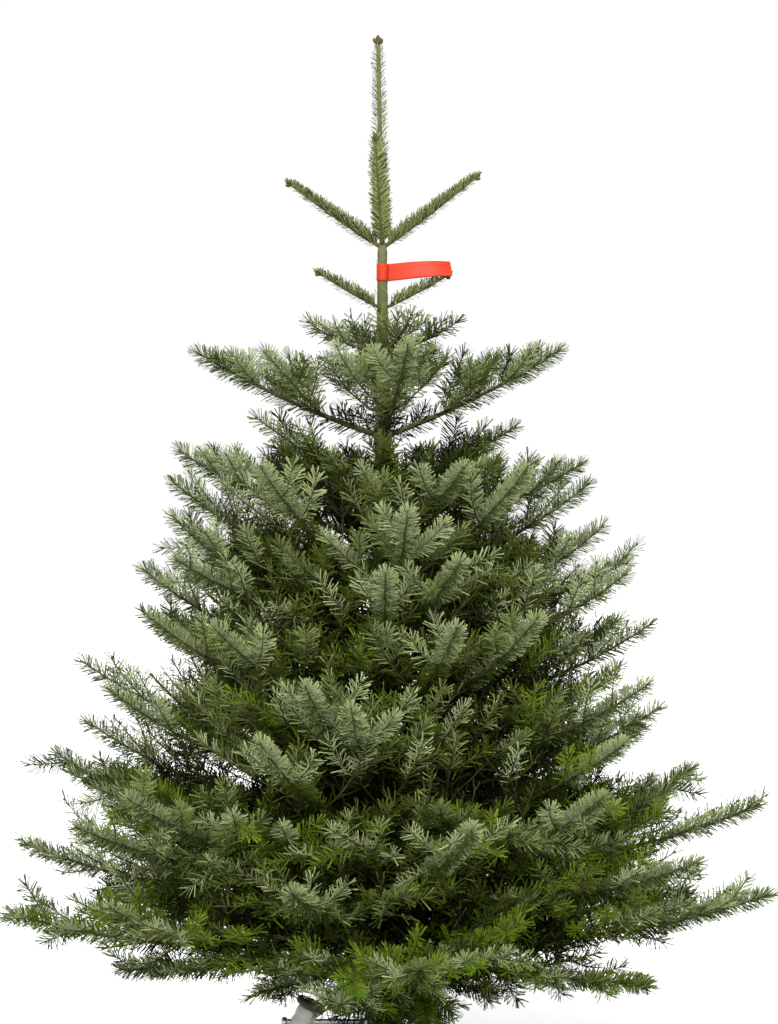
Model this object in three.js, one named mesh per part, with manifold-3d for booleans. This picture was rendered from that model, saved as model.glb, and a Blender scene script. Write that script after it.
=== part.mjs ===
// A cut fir, about 1.9 m tall, standing in a plain three-armed stand.
// Millimetres, +Z up. The origin is on the floor, under the trunk's axis, and -Y is the front.
//
// A fir grows one whorl of boughs a year, each a fan: at the end of every year's growth along a bough
// a pair of side shoots leaves it, shorter the nearer the tip. The same rule makes every fan. A shoot
// with its needles is a toothed blade, ridged above and sharp at its edges. The lower fans show no sky,
// so each of them has a dense core that its shoots stand out of.
import * as THREE from 'three';
import { mergeVertices } from 'three/addons/utils/BufferGeometryUtils.js';
import Module from 'manifold-3d';

const wasm = await Module();
wasm.setup();
const { Manifold, Mesh: SolidMesh } = wasm;

// ---------------------------------------------------------------- driving dimensions

const TREE_HEIGHT = 1920;      // floor to the tip of the leader
const GAP = 0.3;               // clearance between touching pieces
const NEEDLE_REACH = 24;       // from a shoot's axis to the needle tips, square to the shoot
const NEEDLES_ABOVE = 17;      // and how far they stand above it
const SIDE_SHARE = 0.74;       // a side shoot's yearly growth as a share of its parent's
const SIDE_ANGLE = 52;         // degrees between a side shoot and its parent
const SIDE_BEND = 16;          // degrees by which a side shoot turns forward over its length
const SIDE_LIFT = 0.45;        // how far a side shoot's tip turns up, as a slope

const TRUNK_FOOT = 36 + GAP;   // the flat cut stands on the floor of the stand's bowl
const TRUNK_SIDES = 10;
const TRUNK_BUTT_RADIUS = 32;
const TRUNK_KNEE = 1202;       // the trunk tapers evenly up to here, and faster above
const TRUNK_KNEE_RADIUS = 14;
const TRUNK_TOP_RADIUS = 8.2;  // below the top whorl
const WHORL_SWELLING = 1.12;   // the trunk is this much thicker where a whorl leaves it
const WHORL_COLLAR = 16;       // and starts to thicken this far below
const LEADER_RADIUS = 3.9;
const BUD_RADIUS = 9;
const BUD_LENGTH = 20;
const LEADER_LEAN = -8;        // sideways offset of the tip from the top whorl
const CROWN_LEAN = -5;         // sideways offset of the top whorl from the foot

const BASE_RADIUS = 250;
const BASE_RIM = 12;
const BOWL_RADIUS = 92;        // outside of the bowl's wall
const BOWL_WALL = 8;
const BOWL_FLOOR = 36;
const BOWL_HEIGHT = 132;
const ARM_COUNT = 3;
const ARM_FIRST_AZIMUTH = 180;
const ARM_LEAN = 27;           // degrees from upright, towards the trunk
const ARM_RADIUS = 20;
const ARM_RIB_PITCH = 21;
const ARM_RIB_DEPTH = 2;
const ARM_TOP = { reach: 137, height: 174 };   // where an arm's axis meets its cap
const CAP_RADIUS = 28;
const CAP_THICKNESS = 15;
const SCREW_HEIGHT = 150;
const SCREW_RADIUS = 5;
const SCREW_PAD_RADIUS = 14;
const SCREW_PAD_THICKNESS = 7;
const SCREW_REACH = 186;       // from the trunk's axis to the end of the head
const SCREW_HEAD_RADIUS = 8;
const SCREW_HEAD_LENGTH = 9;

const TAG_HEIGHT = 31;
const TAG_MIDDLE = 1498;
const TAG_LENGTH = 124;        // from the trunk's axis to the free end
const TAG_THICKNESS = 1.2;
const TAG_TWIST = 40;          // degrees by which the free end leans back
const TAG_RISE = 4;

// One row for each whorl, from the top. height: on the trunk. first: azimuth of the first bough in
// degrees, 0 to the right and 270 to the front. length: along the bough. base and tip: its rise in
// degrees at each end. years: whole years of growth along it.
const WHORLS = [
  { name: 'top_shoot', height: 1542, count: 4, first: -8, length: 210, base: 32, tip: 37, years: 1 },
  { name: 'upper_shoot', height: 1432, count: 2, first: 4, length: 128, base: 24, tip: 30, years: 1 },
  { name: 'collar_fan', height: 1350, count: 4, first: 24, length: 160, base: 12, tip: 34, years: 2 },
  { name: 'second_fan', height: 1202, count: 4, first: 3, length: 366, base: 20, tip: 33, years: 3 },
  { name: 'shoulder_fan', height: 1096, count: 2, first: 14, length: 270, base: 24, tip: 34, years: 2 },
  { name: 'third_fan', height: 1016, count: 4, first: 17, length: 392, base: 10, tip: 32, years: 3 },
  { name: 'fourth_fan', height: 854, count: 5, first: -18, length: 460, base: 8, tip: 42, years: 4 },
  { name: 'fifth_fan', height: 707, count: 5, first: 18, length: 482, base: 5, tip: 40, years: 4 },
  { name: 'sixth_fan', height: 566, count: 5, first: -18, length: 562, base: 2, tip: 36, years: 4 },
  { name: 'seventh_fan', height: 437, count: 5, first: 18, length: 655, base: -2, tip: 31, years: 5 },
  { name: 'lowest_fan', height: 318, count: 5, first: -14, length: 705, base: -11, tip: 18, years: 5 },
];
const FIRST_FAN = WHORLS.findIndex((whorl) => whorl.name === 'second_fan');
const FIRST_DENSE = WHORLS.findIndex((whorl) => whorl.name === 'third_fan');
const STEEP_RISE = 32;         // the top whorl's front and back shoots stand this much steeper
const LIMB_SHARE = 0.27;       // the bare part of the lowest boughs, as a share of their length
const WOOD_AT_TIP = 2.4;       // a bough's radius grows with its length from this
const WOOD_SLOPE = 0.0135;
const WOOD_TAPER = 0.75;       // of a bough's radius, lost between the trunk and the tip
const BARE_LENGTH = 60;        // bare wood of a bough next to the trunk's axis
const AZIMUTH_JITTER = 6;
const LENGTH_JITTER = 0.05;
const RISE_JITTER = 2.5;
const SIDE_ANGLE_JITTER = 6;
const SIDE_LENGTH_JITTER = 0.12;
const LIFT_JITTER = 0.3;

const BRUSH_SHARE = 0.7;       // needles all round a lone shoot lie closer to it than in a fan
const BRUSH_TOOTH = 56;
const BRUSH_RIDGE = 6;
const BRUSH_BARE = 24;
const EDGE_DROP = 4;           // a fan's blade is flat underneath, this far below its shoot's axis
const SPRAY_REACH = 24;        // how much further a blade's teeth reach where they stand for side shoots
const NOTCH_SHARE = 0.6;       // width of a blade between its teeth, as a share of the needles' reach
const SHOOT_STEP = 170;        // longest straight stretch of a side shoot
const ROOT_WIDTH = 5;          // half width of a side shoot's blade at its root
const ROOT_OFFSET = 6;         // a side shoot's blade starts this far from the parent's axis, inside it
const CORE_SHARE = 0.76;       // reach of a mass's dense core, as a share of its bough
const CORE_ABOVE = 0.7;        // and its height above the bough, as a share of the room between whorls
const CORE_BELOW = 0.45;       // and below it
const BLADE_TOOTH = 110;       // length of shoot for each tooth of its blade
const TRIMS = [1, 0.8, 0.62];  // lengths tried for a side shoot before it is left out
const CORE_TRIMS = [1, 0.85, 0.7, 0.55, 0.4];
const ROOM = 1.2;              // how much larger a side shoot is taken to be when its room is tested

// ---------------------------------------------------------------- small helpers

const radians = THREE.MathUtils.degToRad;
const point = (x, y, z) => new THREE.Vector3(x, y, z);
const lerp = THREE.MathUtils.lerp;

// A repeatable number from -1 to 1 for each pair of whole numbers.
function jitter(a, b) {
  const wave = Math.sin(a * 12.9898 + b * 78.233) * 43758.5453;
  return 2 * (wave - Math.floor(wave)) - 1;
}

// A three.js geometry as a manifold solid.
function solidOf(geometry) {
  const bare = geometry.clone();
  for (const name of Object.keys(bare.attributes)) {
    if (name !== 'position') bare.deleteAttribute(name);
  }
  const merged = mergeVertices(bare, 1e-3);
  return new Manifold(new SolidMesh({
    numProp: 3,
    vertProperties: merged.attributes.position.array,
    triVerts: new Uint32Array(merged.index.array),
  }));
}

// A manifold solid as a three.js geometry.
function geometryOf(solid) {
  const mesh = solid.getMesh();
  const geometry = new THREE.BufferGeometry();
  geometry.setAttribute('position', new THREE.BufferAttribute(mesh.vertProperties, mesh.numProp));
  geometry.setIndex(new THREE.BufferAttribute(mesh.triVerts, 1));
  geometry.computeVertexNormals();
  return geometry;
}

function geometryFromFaces(vertices, faces) {
  const geometry = new THREE.BufferGeometry();
  const numbers = vertices.flatMap((vertex) => vertex.toArray());
  geometry.setAttribute('position', new THREE.Float32BufferAttribute(numbers, 3));
  geometry.setIndex(faces.flat());
  return geometry;
}

// A closed solid from vertices and faces, with its faces turned outward.
function outward(vertices, faces) {
  const solid = solidOf(geometryFromFaces(vertices, faces));
  if (solid.volume() > 0) return solid;
  return solidOf(geometryFromFaces(vertices, faces.map((face) => [...face].reverse())));
}

// A solid of rings of the same number of sides, one round each centre, closed at both ends.
function ringedSolid(centres, radii, sides) {
  const vertices = [];
  const faces = [];
  centres.forEach((centre, i) => {
    const ahead = centres[Math.min(i + 1, centres.length - 1)];
    const behind = centres[Math.max(i - 1, 0)];
    const tangent = ahead.clone().sub(behind).normalize();
    const across = Math.abs(tangent.z) > 0.9 ? point(1, 0, 0) : point(0, 0, 1);
    const u = across.clone().cross(tangent).normalize();
    const v = tangent.clone().cross(u);
    for (let k = 0; k < sides; k += 1) {
      const turn = (2 * Math.PI * k) / sides;
      vertices.push(centre.clone().addScaledVector(u, radii[i] * Math.cos(turn))
        .addScaledVector(v, radii[i] * Math.sin(turn)));
    }
  });
  for (let i = 0; i + 1 < centres.length; i += 1) {
    for (let k = 0; k < sides; k += 1) {
      const a = i * sides + k;
      const b = i * sides + ((k + 1) % sides);
      faces.push([a, b, b + sides], [a, b + sides, a + sides]);
    }
  }
  const last = (centres.length - 1) * sides;
  for (let k = 1; k + 1 < sides; k += 1) {
    faces.push([0, k + 1, k], [last, last + k, last + k + 1]);
  }
  return solidOf(geometryFromFaces(vertices, faces));
}

// ---------------------------------------------------------------- trunk

const TOP_WHORL = WHORLS[0].height;

// The trunk leans a little: evenly up to the top whorl, and then more along the leader.
function trunkCentre(height) {
  const below = CROWN_LEAN * Math.min(1, height / TOP_WHORL);
  const above = LEADER_LEAN * Math.max(0, (height - TOP_WHORL) / (TREE_HEIGHT - TOP_WHORL));
  return point(below + above, 0, height);
}

function trunkRadius(height) {
  if (height < TRUNK_KNEE) return lerp(TRUNK_BUTT_RADIUS, TRUNK_KNEE_RADIUS, height / TRUNK_KNEE);
  const past = (height - TRUNK_KNEE) / (TOP_WHORL - TRUNK_KNEE);
  return past < 1 ? lerp(TRUNK_KNEE_RADIUS, TRUNK_TOP_RADIUS, past) : LEADER_RADIUS;
}

// The trunk's stations: its foot, a swelling at each full whorl, the leader and its buds.
function trunkSolid(clearance) {
  const stations = [[TRUNK_FOOT, trunkRadius(TRUNK_FOOT)]];
  for (const { height } of WHORLS.filter((whorl) => whorl.count > 2).reverse()) {
    const radius = trunkRadius(height - 1);
    stations.push([height - WHORL_COLLAR, radius], [height, radius * WHORL_SWELLING]);
  }
  stations.push(
    [TOP_WHORL + WHORL_COLLAR, LEADER_RADIUS * WHORL_SWELLING],
    [TREE_HEIGHT - BUD_LENGTH, LEADER_RADIUS],
    [TREE_HEIGHT - BUD_LENGTH / 2, BUD_RADIUS],
    [TREE_HEIGHT, BUD_RADIUS / 4],
  );
  const centres = stations.map(([height]) => trunkCentre(height));
  const radii = stations.map(([, radius]) => radius + clearance);
  return ringedSolid(centres, radii, TRUNK_SIDES);
}

// ---------------------------------------------------------------- growth

// Everything about one bough: where it leaves the trunk, which way, and its curve.
function boughOf(whorl, whorlIndex, k) {
  const steep = whorlIndex === 0 && k % 2 === 1 ? STEEP_RISE : 0;
  const azimuth = radians(whorl.first + (360 * k) / whorl.count + AZIMUTH_JITTER * jitter(whorlIndex, k));
  const rise = steep + RISE_JITTER * jitter(whorlIndex + 20, k);
  return {
    out: point(Math.cos(azimuth), Math.sin(azimuth), 0),
    side: point(-Math.sin(azimuth), Math.cos(azimuth), 0),
    length: whorl.length * (1 + LENGTH_JITTER * jitter(whorlIndex + 40, k)),
    base: radians(whorl.base + rise),
    tip: radians(whorl.tip + rise),
    root: trunkCentre(whorl.height),
    years: whorl.years,
    sector: Math.PI / Math.max(whorl.count, 4),
    seed: whorlIndex * 10 + k,
  };
}

// The bough's axis is an arc whose rise goes evenly from base to tip. Share 0 is on the trunk's axis.
function axisPoint(bough, share) {
  const { base, tip, length } = bough;
  const now = lerp(base, tip, share);
  const outward = (length * (Math.sin(now) - Math.sin(base))) / (tip - base);
  const upward = (length * (Math.cos(base) - Math.cos(now))) / (tip - base);
  return bough.root.clone().addScaledVector(bough.out, outward).add(point(0, 0, upward));
}

function axisDirection(bough, share) {
  const rise = lerp(bough.base, bough.tip, share);
  return bough.out.clone().multiplyScalar(Math.cos(rise)).add(point(0, 0, Math.sin(rise)));
}

// The points of a side shoot. It leaves its parent at SIDE_ANGLE, bends forward and turns up.
function shootPoints(shoot, length) {
  const { start, ahead, sideways, angle, lift } = shoot;
  const steps = Math.ceil(length / SHOOT_STEP);
  const points = [start.clone()];
  for (let i = 0; i < steps; i += 1) {
    const share = (i + 0.5) / steps;
    const turn = radians(angle - SIDE_BEND * share);
    const direction = ahead.clone().multiplyScalar(Math.cos(turn))
      .addScaledVector(sideways, Math.sin(turn))
      .add(point(0, 0, lift * share))
      .normalize();
    points.push(points[i].clone().addScaledVector(direction, length / steps));
  }
  return points;
}

// True if a point is inside the bough's own slice of the crown.
function inSector(bough, place) {
  const fromTrunk = place.clone().sub(bough.root);
  return Math.abs(Math.atan2(fromTrunk.dot(bough.side), fromTrunk.dot(bough.out))) < bough.sector;
}

// The side shoots of a bough: one pair at the end of each year's growth but the last, each as many
// years old as the bough is beyond it. A shoot that would leave the bough's slice is grown shorter.
function sideShoots(bough) {
  const shoots = [];
  const year = bough.length / bough.years;
  for (let node = 1; node < bough.years; node += 1) {
    const share = node / bough.years;
    const ahead = axisDirection(bough, share);
    for (const hand of [-1, 1]) {
      const sideways = bough.side.clone().multiplyScalar(hand);
      const place = node * 2 + (hand > 0 ? 1 : 0);
      const draw = jitter(bough.seed + 100, place);
      const years = bough.years - node;
      const shoot = {
        start: axisPoint(bough, share).addScaledVector(sideways, ROOT_OFFSET),
        ahead,
        sideways,
        years,
        angle: SIDE_ANGLE + SIDE_ANGLE_JITTER * draw,
        lift: SIDE_LIFT + LIFT_JITTER * jitter(bough.seed + 200, place),
        length: years * year * SIDE_SHARE * (1 + SIDE_LENGTH_JITTER * draw),
      };
      while (shoot.length > year / 2 && !inSector(bough, shootPoints(shoot, shoot.length).at(-1))) {
        shoot.length *= 0.9;
      }
      shoots.push(shoot);
    }
  }
  return shoots;
}

// ---------------------------------------------------------------- needle blades

// Half width of a blade along a shoot. A single shoot is as wide as its needles reach, and rounded off
// over its last quarter. A shoot of several years also carries its own side shoots, shorter towards
// its tip, and the blade's teeth reach out to their ends.
function bladeWidth(share, { length, years }) {
  const ROUNDED = 0.72;
  const past = Math.max(0, (share - ROUNDED) / (1 - ROUNDED));
  const needles = NEEDLE_REACH * Math.sqrt(1 - 0.75 * past * past);
  const sprays = years > 1 ? Math.min(SPRAY_REACH, 0.3 * length * (1 - share)) : 0;
  return needles + sprays;
}

// A solid blade round a line of points: a ridge above the line, a toothed edge on each side, and a
// ridge below it too unless the blade is flat underneath. The teeth point forward, as the needles do.
// The root is a small facet and the tip is a point. Where bare is more than nothing, the blade stays
// as narrow as its root over this first share.
function needleBlade(points, sideways, upward, shape) {
  const NOTCH_AT = 0.3;
  const TOOTH_AT = 0.98;
  const FULL_AT = 0.3;
  const { grow = 1, bare = 0, rootWidth, teeth, below = 0 } = shape;
  const width = (share) => bladeWidth(share, shape) * grow;
  const notchWidth = (share) => Math.min(NEEDLE_REACH * NOTCH_SHARE * grow, width(share));
  const curve = new THREE.CatmullRomCurve3(points);
  const at = (share) => curve.getPoint(Math.min(share, 1));
  const vertices = [];
  const add = (vertex) => vertices.push(vertex) - 1;

  const tip = { index: add(at(1).addScaledVector(curve.getTangent(1), NEEDLE_REACH * 0.5)), share: 1.2 };
  const stations = points.map((_, i) => i / (points.length - 1)).slice(0, -1);
  const full = lerp(bare, 1, FULL_AT);
  const ridgeShares = [...new Set([0, bare, full, ...stations.filter((share) => share > full + 0.1)])];
  const ridge = (hand, height) => [
    ...ridgeShares.map((share) => {
      const now = share <= bare ? Math.min(rootWidth, height) : height;
      return { index: add(at(share).addScaledVector(upward, hand * now * grow)), share };
    }), tip,
  ];
  const edge = (hand) => {
    const stops = [[0, rootWidth * grow]];
    if (bare > 0) stops.push([bare, rootWidth * grow]);
    for (let t = 0; t < teeth; t += 1) {
      const notch = lerp(bare, 1, (t + NOTCH_AT) / teeth);
      const tooth = lerp(bare, 1, (t + TOOTH_AT) / teeth);
      if (t > 0) stops.push([notch, notchWidth(notch)]);
      stops.push([tooth, width(tooth)]);
    }
    return [
      ...stops.map(([share, half]) => {
        const drop = below > 0 ? 0 : Math.min(rootWidth, EDGE_DROP) * grow;
        const place = at(share).addScaledVector(sideways, hand * half).addScaledVector(upward, -drop);
        return { index: add(place), share };
      }), tip,
    ];
  };
  const rails = [ridge(1, shape.above), edge(1), edge(-1)];
  if (below > 0) rails.splice(2, 0, ridge(-1, below));

  const faces = [];
  // Fills the strip between two rails that share their last vertex.
  const fill = (a, b) => {
    let i = 0;
    let j = 0;
    while (i + 1 < a.length || j + 1 < b.length) {
      const stepA = j + 1 >= b.length || (i + 1 < a.length && a[i + 1].share < b[j + 1].share);
      const face = stepA
        ? [a[i].index, a[i + 1].index, b[j].index]
        : [a[i].index, b[j + 1].index, b[j].index];
      if (stepA) i += 1; else j += 1;
      if (new Set(face).size === 3) faces.push(face);
    }
  };
  rails.forEach((rail, i) => fill(rail, rails[(i + 1) % rails.length]));
  for (let i = 1; i + 1 < rails.length; i += 1) {
    faces.push([rails[0][0].index, rails[i][0].index, rails[i + 1][0].index]);
  }
  return outward(vertices, faces);
}

const teethFor = (length) => Math.max(2, Math.round(length / BLADE_TOOTH));

// The blade of a side shoot, a little larger all round where only its room is wanted.
function sideBlade(shoot, trim, grow) {
  const length = shoot.length * trim;
  const points = shootPoints(shoot, length);
  const along = points.at(-1).clone().sub(points[0]).normalize();
  const flat = along.clone().cross(point(0, 0, 1)).normalize();
  const upward = flat.clone().cross(along).normalize();
  return needleBlade(points, flat, upward, {
    grow,
    length,
    years: shoot.years,
    teeth: teethFor(length),
    rootWidth: ROOT_WIDTH,
    above: NEEDLES_ABOVE,
  });
}

// ---------------------------------------------------------------- rooms

// What stands already, by node, so that nothing is grown through it.
const standing = [];

function occupy(name, solid) {
  standing.push({ name, solid, box: solid.boundingBox() });
}

function apart(a, b) {
  return [0, 1, 2].some((axis) => a.min[axis] > b.max[axis] || b.min[axis] > a.max[axis]);
}

function isFree(solid, ownName) {
  const box = solid.boundingBox();
  return standing.every((other) => other.name === ownName || apart(box, other.box)
    || solid.intersect(other.solid).isEmpty());
}

// ---------------------------------------------------------------- boughs and fans

const trunkRoom = trunkSolid(GAP);

// The wood of a bough tapers evenly from the trunk to its tip.
function woodRadius(bough, share) {
  return (WOOD_AT_TIP + bough.length * WOOD_SLOPE) * (1 - WOOD_TAPER * share);
}

// The bare limb that carries one of the lowest fans.
function limbSolid(bough, clearance) {
  const STEPS = 3;
  const SIDES = 6;
  const BARK = 2;
  const end = LIMB_SHARE + clearance / bough.length;
  const centres = [];
  const radii = [];
  for (let i = 0; i <= STEPS; i += 1) {
    const share = (end * i) / STEPS;
    centres.push(axisPoint(bough, share));
    radii.push(woodRadius(bough, share) + BARK + clearance);
  }
  return ringedSolid(centres, radii, SIDES);
}

// The middle of a fan: a blade along the bough's own axis from startShare on, bare at first where it
// leaves the trunk.
function fanSpine(bough, startShare) {
  const length = bough.length * (1 - startShare);
  const steps = Math.max(1, Math.round(length / SHOOT_STEP));
  const points = [];
  for (let i = 0; i <= steps; i += 1) points.push(axisPoint(bough, lerp(startShare, 1, i / steps)));
  const upward = axisDirection(bough, 0.5).cross(bough.side).normalize().negate();
  return needleBlade(points, bough.side, upward, {
    length,
    years: 1,
    bare: startShare > 0 ? 0 : BARE_LENGTH / length,
    teeth: teethFor(length),
    rootWidth: woodRadius(bough, startShare),
    above: NEEDLES_ABOVE,
  });
}

// The dense inside of a mass that shows no sky, on its own stem. It is a lens along the bough, as wide
// as its slice of the crown allows and as thick as the room between two whorls, and it ends well short
// of the shoots' tips. Each ring is a diamond, and its share runs from the stem's start to the end.
function coreSolid(bough, startShare, above, below) {
  const STEM_RINGS = [0, 0.12];
  const LENS_RINGS = [[0.3, 0.55], [0.55, 1], [0.8, 0.75]];
  const WIDEST = 0.3;
  const slope = 0.8 * Math.tan(bough.sector);
  const vertices = [];
  const addRing = (share, half, up, down) => {
    const centre = axisPoint(bough, share);
    vertices.push(
      centre.clone().addScaledVector(bough.side, -half),
      centre.clone().add(point(0, 0, up)),
      centre.clone().addScaledVector(bough.side, half),
      centre.clone().add(point(0, 0, -down)),
    );
  };
  for (const ring of STEM_RINGS) {
    const share = lerp(startShare, CORE_SHARE, ring);
    const wood = woodRadius(bough, share);
    addRing(share, wood, wood, wood);
  }
  for (const [ring, full] of LENS_RINGS) {
    const share = lerp(startShare, CORE_SHARE, ring);
    addRing(share, Math.min(slope * share, WIDEST) * bough.length, above * full, below * full);
  }
  vertices.push(axisPoint(bough, CORE_SHARE));
  const last = vertices.length - 1;
  const faces = [[0, 2, 1], [0, 3, 2]];
  for (let k = 0; k < 4; k += 1) {
    const next = (k + 1) % 4;
    for (let ring = 0; ring + 4 < last - 3; ring += 4) {
      faces.push([ring + k, ring + 4 + next, ring + 4 + k], [ring + k, ring + next, ring + 4 + next]);
    }
    faces.push([last, last - 4 + k, last - 4 + next]);
  }
  return outward(vertices, faces);
}

// A single shoot with needles all round: two toothed blades crossed on one line.
function brushSolid(bough) {
  const points = [];
  for (let i = 0; i <= 2; i += 1) points.push(axisPoint(bough, i / 2));
  const upward = axisDirection(bough, 0.5).cross(bough.side).normalize();
  const shape = {
    length: bough.length,
    years: 1,
    grow: BRUSH_SHARE,
    bare: BRUSH_BARE / bough.length,
    teeth: Math.max(3, Math.round(bough.length / BRUSH_TOOTH)),
    rootWidth: BRUSH_RIDGE,
    above: BRUSH_RIDGE,
    below: BRUSH_RIDGE,
  };
  const flat = needleBlade(points, bough.side, upward, shape);
  const upright = needleBlade(points, upward, bough.side, shape);
  return flat.add(upright);
}

// The largest piece of a solid, because a cut can leave a loose scrap. It is simplified and read back
// from its own mesh, so that no face is finer than the mesh can hold.
function mainBody(solid) {
  const FINEST = 0.25;
  const largest = (whole) => whole.decompose()
    .reduce((best, body) => (body.volume() > best.volume() ? body : best));
  return largest(solidOf(geometryOf(largest(solid.simplify(FINEST)))));
}

// ---------------------------------------------------------------- leader

// The leader's needles: a thin sleeve round the trunk's last year, with spikes rising from it. A spike
// that would touch a shoot of the top whorl is left out.
function leaderNeedles() {
  const SLEEVE = [3.2, 2.2];   // thickness at the bottom and the top
  const SLEEVE_SIDES = 5;
  const SLEEVE_START = 62;     // above the top whorl
  const SPIKES = 32;
  const SPIKE_LENGTH = 24;
  const SPIKE_WIDTH = 1.6;
  const SPIKE_RISE = radians(42);
  const SPIRAL = radians(137.5);
  const bottom = TOP_WHORL + SLEEVE_START;
  const top = TREE_HEIGHT - 1.2 * BUD_LENGTH;
  const sleeve = ringedSolid([bottom, top].map(trunkCentre), SLEEVE.map((wall) => LEADER_RADIUS + wall),
    SLEEVE_SIDES);
  const spikes = [];
  for (let i = 0; i < SPIKES; i += 1) {
    const around = point(Math.cos(SPIRAL * i), Math.sin(SPIRAL * i), 0);
    const across = point(-around.y, around.x, 0);
    const direction = around.clone().multiplyScalar(Math.cos(SPIKE_RISE)).setZ(Math.sin(SPIKE_RISE));
    const root = trunkCentre(lerp(bottom + SPIKE_WIDTH, top - 4 * SPIKE_WIDTH, i / (SPIKES - 1)))
      .addScaledVector(around, LEADER_RADIUS + GAP);
    const spike = outward([
      root.clone().addScaledVector(across, -SPIKE_WIDTH),
      root.clone().addScaledVector(across, SPIKE_WIDTH),
      root.clone().setZ(root.z + 2 * SPIKE_WIDTH),
      root.clone().addScaledVector(direction, SPIKE_LENGTH * (1 + 0.15 * jitter(7, i))),
    ], [[0, 2, 1], [0, 1, 3], [1, 2, 3], [2, 0, 3]]);
    if (isFree(spike, 'leader_needles')) spikes.push(spike);
  }
  return mainBody(Manifold.union([sleeve, ...spikes]).subtract(trunkRoom));
}

// ---------------------------------------------------------------- stand

const armAzimuths = Array.from({ length: ARM_COUNT }, (_, k) => ARM_FIRST_AZIMUTH + (360 * k) / ARM_COUNT);

// Turns a solid that was made in the plane of azimuth 0 to its own azimuth.
const turned = (solid, azimuth) => solid.rotate([0, 0, azimuth]);

// A profile turned about the Z axis. It runs from its lowest point to its highest.
function latheSolid(profile, segments) {
  const geometry = new THREE.LatheGeometry(profile.map(([r, z]) => new THREE.Vector2(r, z)), segments);
  return solidOf(geometry.rotateX(Math.PI / 2));
}

// A disc with a sloping top and a water bowl on it, in one moulding.
function baseSolid() {
  const SEGMENTS = 32;
  const EDGE = 4;              // bevel of the disc's rim
  const FOOT = 22;             // how far the slope ends outside the bowl
  const LIP = 4;
  const FILLET = 12;           // inside the bowl, between wall and floor
  const inside = BOWL_RADIUS - BOWL_WALL;
  return latheSolid([
    [0, 0],
    [BASE_RADIUS, 0],
    [BASE_RADIUS, BASE_RIM - EDGE],
    [BASE_RADIUS - 2 * EDGE, BASE_RIM],
    [BOWL_RADIUS + FOOT, BOWL_FLOOR],
    [BOWL_RADIUS + LIP, BOWL_FLOOR + FOOT],
    [BOWL_RADIUS, BOWL_HEIGHT - 2 * LIP],
    [BOWL_RADIUS + LIP, BOWL_HEIGHT],
    [inside, BOWL_HEIGHT],
    [inside - FILLET / 2, BOWL_FLOOR + FILLET],
    [inside - FILLET * 1.5, BOWL_FLOOR],
    [0, BOWL_FLOOR],
  ], SEGMENTS);
}

// Moves a solid that stands at the origin to the top of an arm and leans it towards the trunk.
function onArm(solid) {
  return solid.rotate([0, -ARM_LEAN, 0]).translate([ARM_TOP.reach, 0, ARM_TOP.height]);
}

// A round ribbed arm, made hanging from the origin, then leant and cut off level inside the base.
function armSolid() {
  const SEGMENTS = 8;
  const groove = ARM_RADIUS - ARM_RIB_DEPTH;
  const length = ARM_TOP.height / Math.cos(radians(ARM_LEAN)) + ARM_RADIUS;
  const ribs = Math.floor(length / ARM_RIB_PITCH);
  const profile = [[0, -length], [groove, -length]];
  for (let i = ribs - 1; i > 0; i -= 1) {
    profile.push([ARM_RADIUS, (-0.5 - i) * ARM_RIB_PITCH], [groove, -i * ARM_RIB_PITCH]);
  }
  profile.push([ARM_RADIUS, -0.5 * ARM_RIB_PITCH], [groove, 0], [0, 0]);
  return onArm(latheSolid(profile, SEGMENTS)).trimByPlane([0, 0, 1], BASE_RIM / 2);
}

// The rounded cap on an arm's end.
function capSolid() {
  const SEGMENTS = 16;
  const STEPS = 4;
  const half = CAP_THICKNESS / 2;
  const profile = [[0, GAP]];
  for (let i = 0; i <= STEPS; i += 1) {
    const turn = Math.PI * (i / STEPS - 0.5);
    profile.push([CAP_RADIUS - half + half * Math.cos(turn), GAP + half + half * Math.sin(turn)]);
  }
  profile.push([0, GAP + CAP_THICKNESS]);
  return onArm(latheSolid(profile, SEGMENTS));
}

// A clamp screw that goes through an arm, with a round pad at the trunk and a head outside.
function screwSolid(clearance) {
  const SEGMENTS = 8;
  const inner = trunkRadius(SCREW_HEIGHT) + Math.abs(trunkCentre(SCREW_HEIGHT).x) + GAP;
  const pad = inner + SCREW_PAD_THICKNESS + clearance;
  const head = SCREW_REACH - SCREW_HEAD_LENGTH - clearance;
  return latheSolid([
    [0, inner],
    [SCREW_PAD_RADIUS + clearance, inner],
    [SCREW_PAD_RADIUS + clearance, pad],
    [SCREW_RADIUS + clearance, pad],
    [SCREW_RADIUS + clearance, head],
    [SCREW_HEAD_RADIUS + clearance, head],
    [SCREW_HEAD_RADIUS + clearance, SCREW_REACH],
    [0, SCREW_REACH],
  ], SEGMENTS).rotate([0, 90, 0]).translate([0, 0, SCREW_HEIGHT]);
}

// ---------------------------------------------------------------- tag

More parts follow.
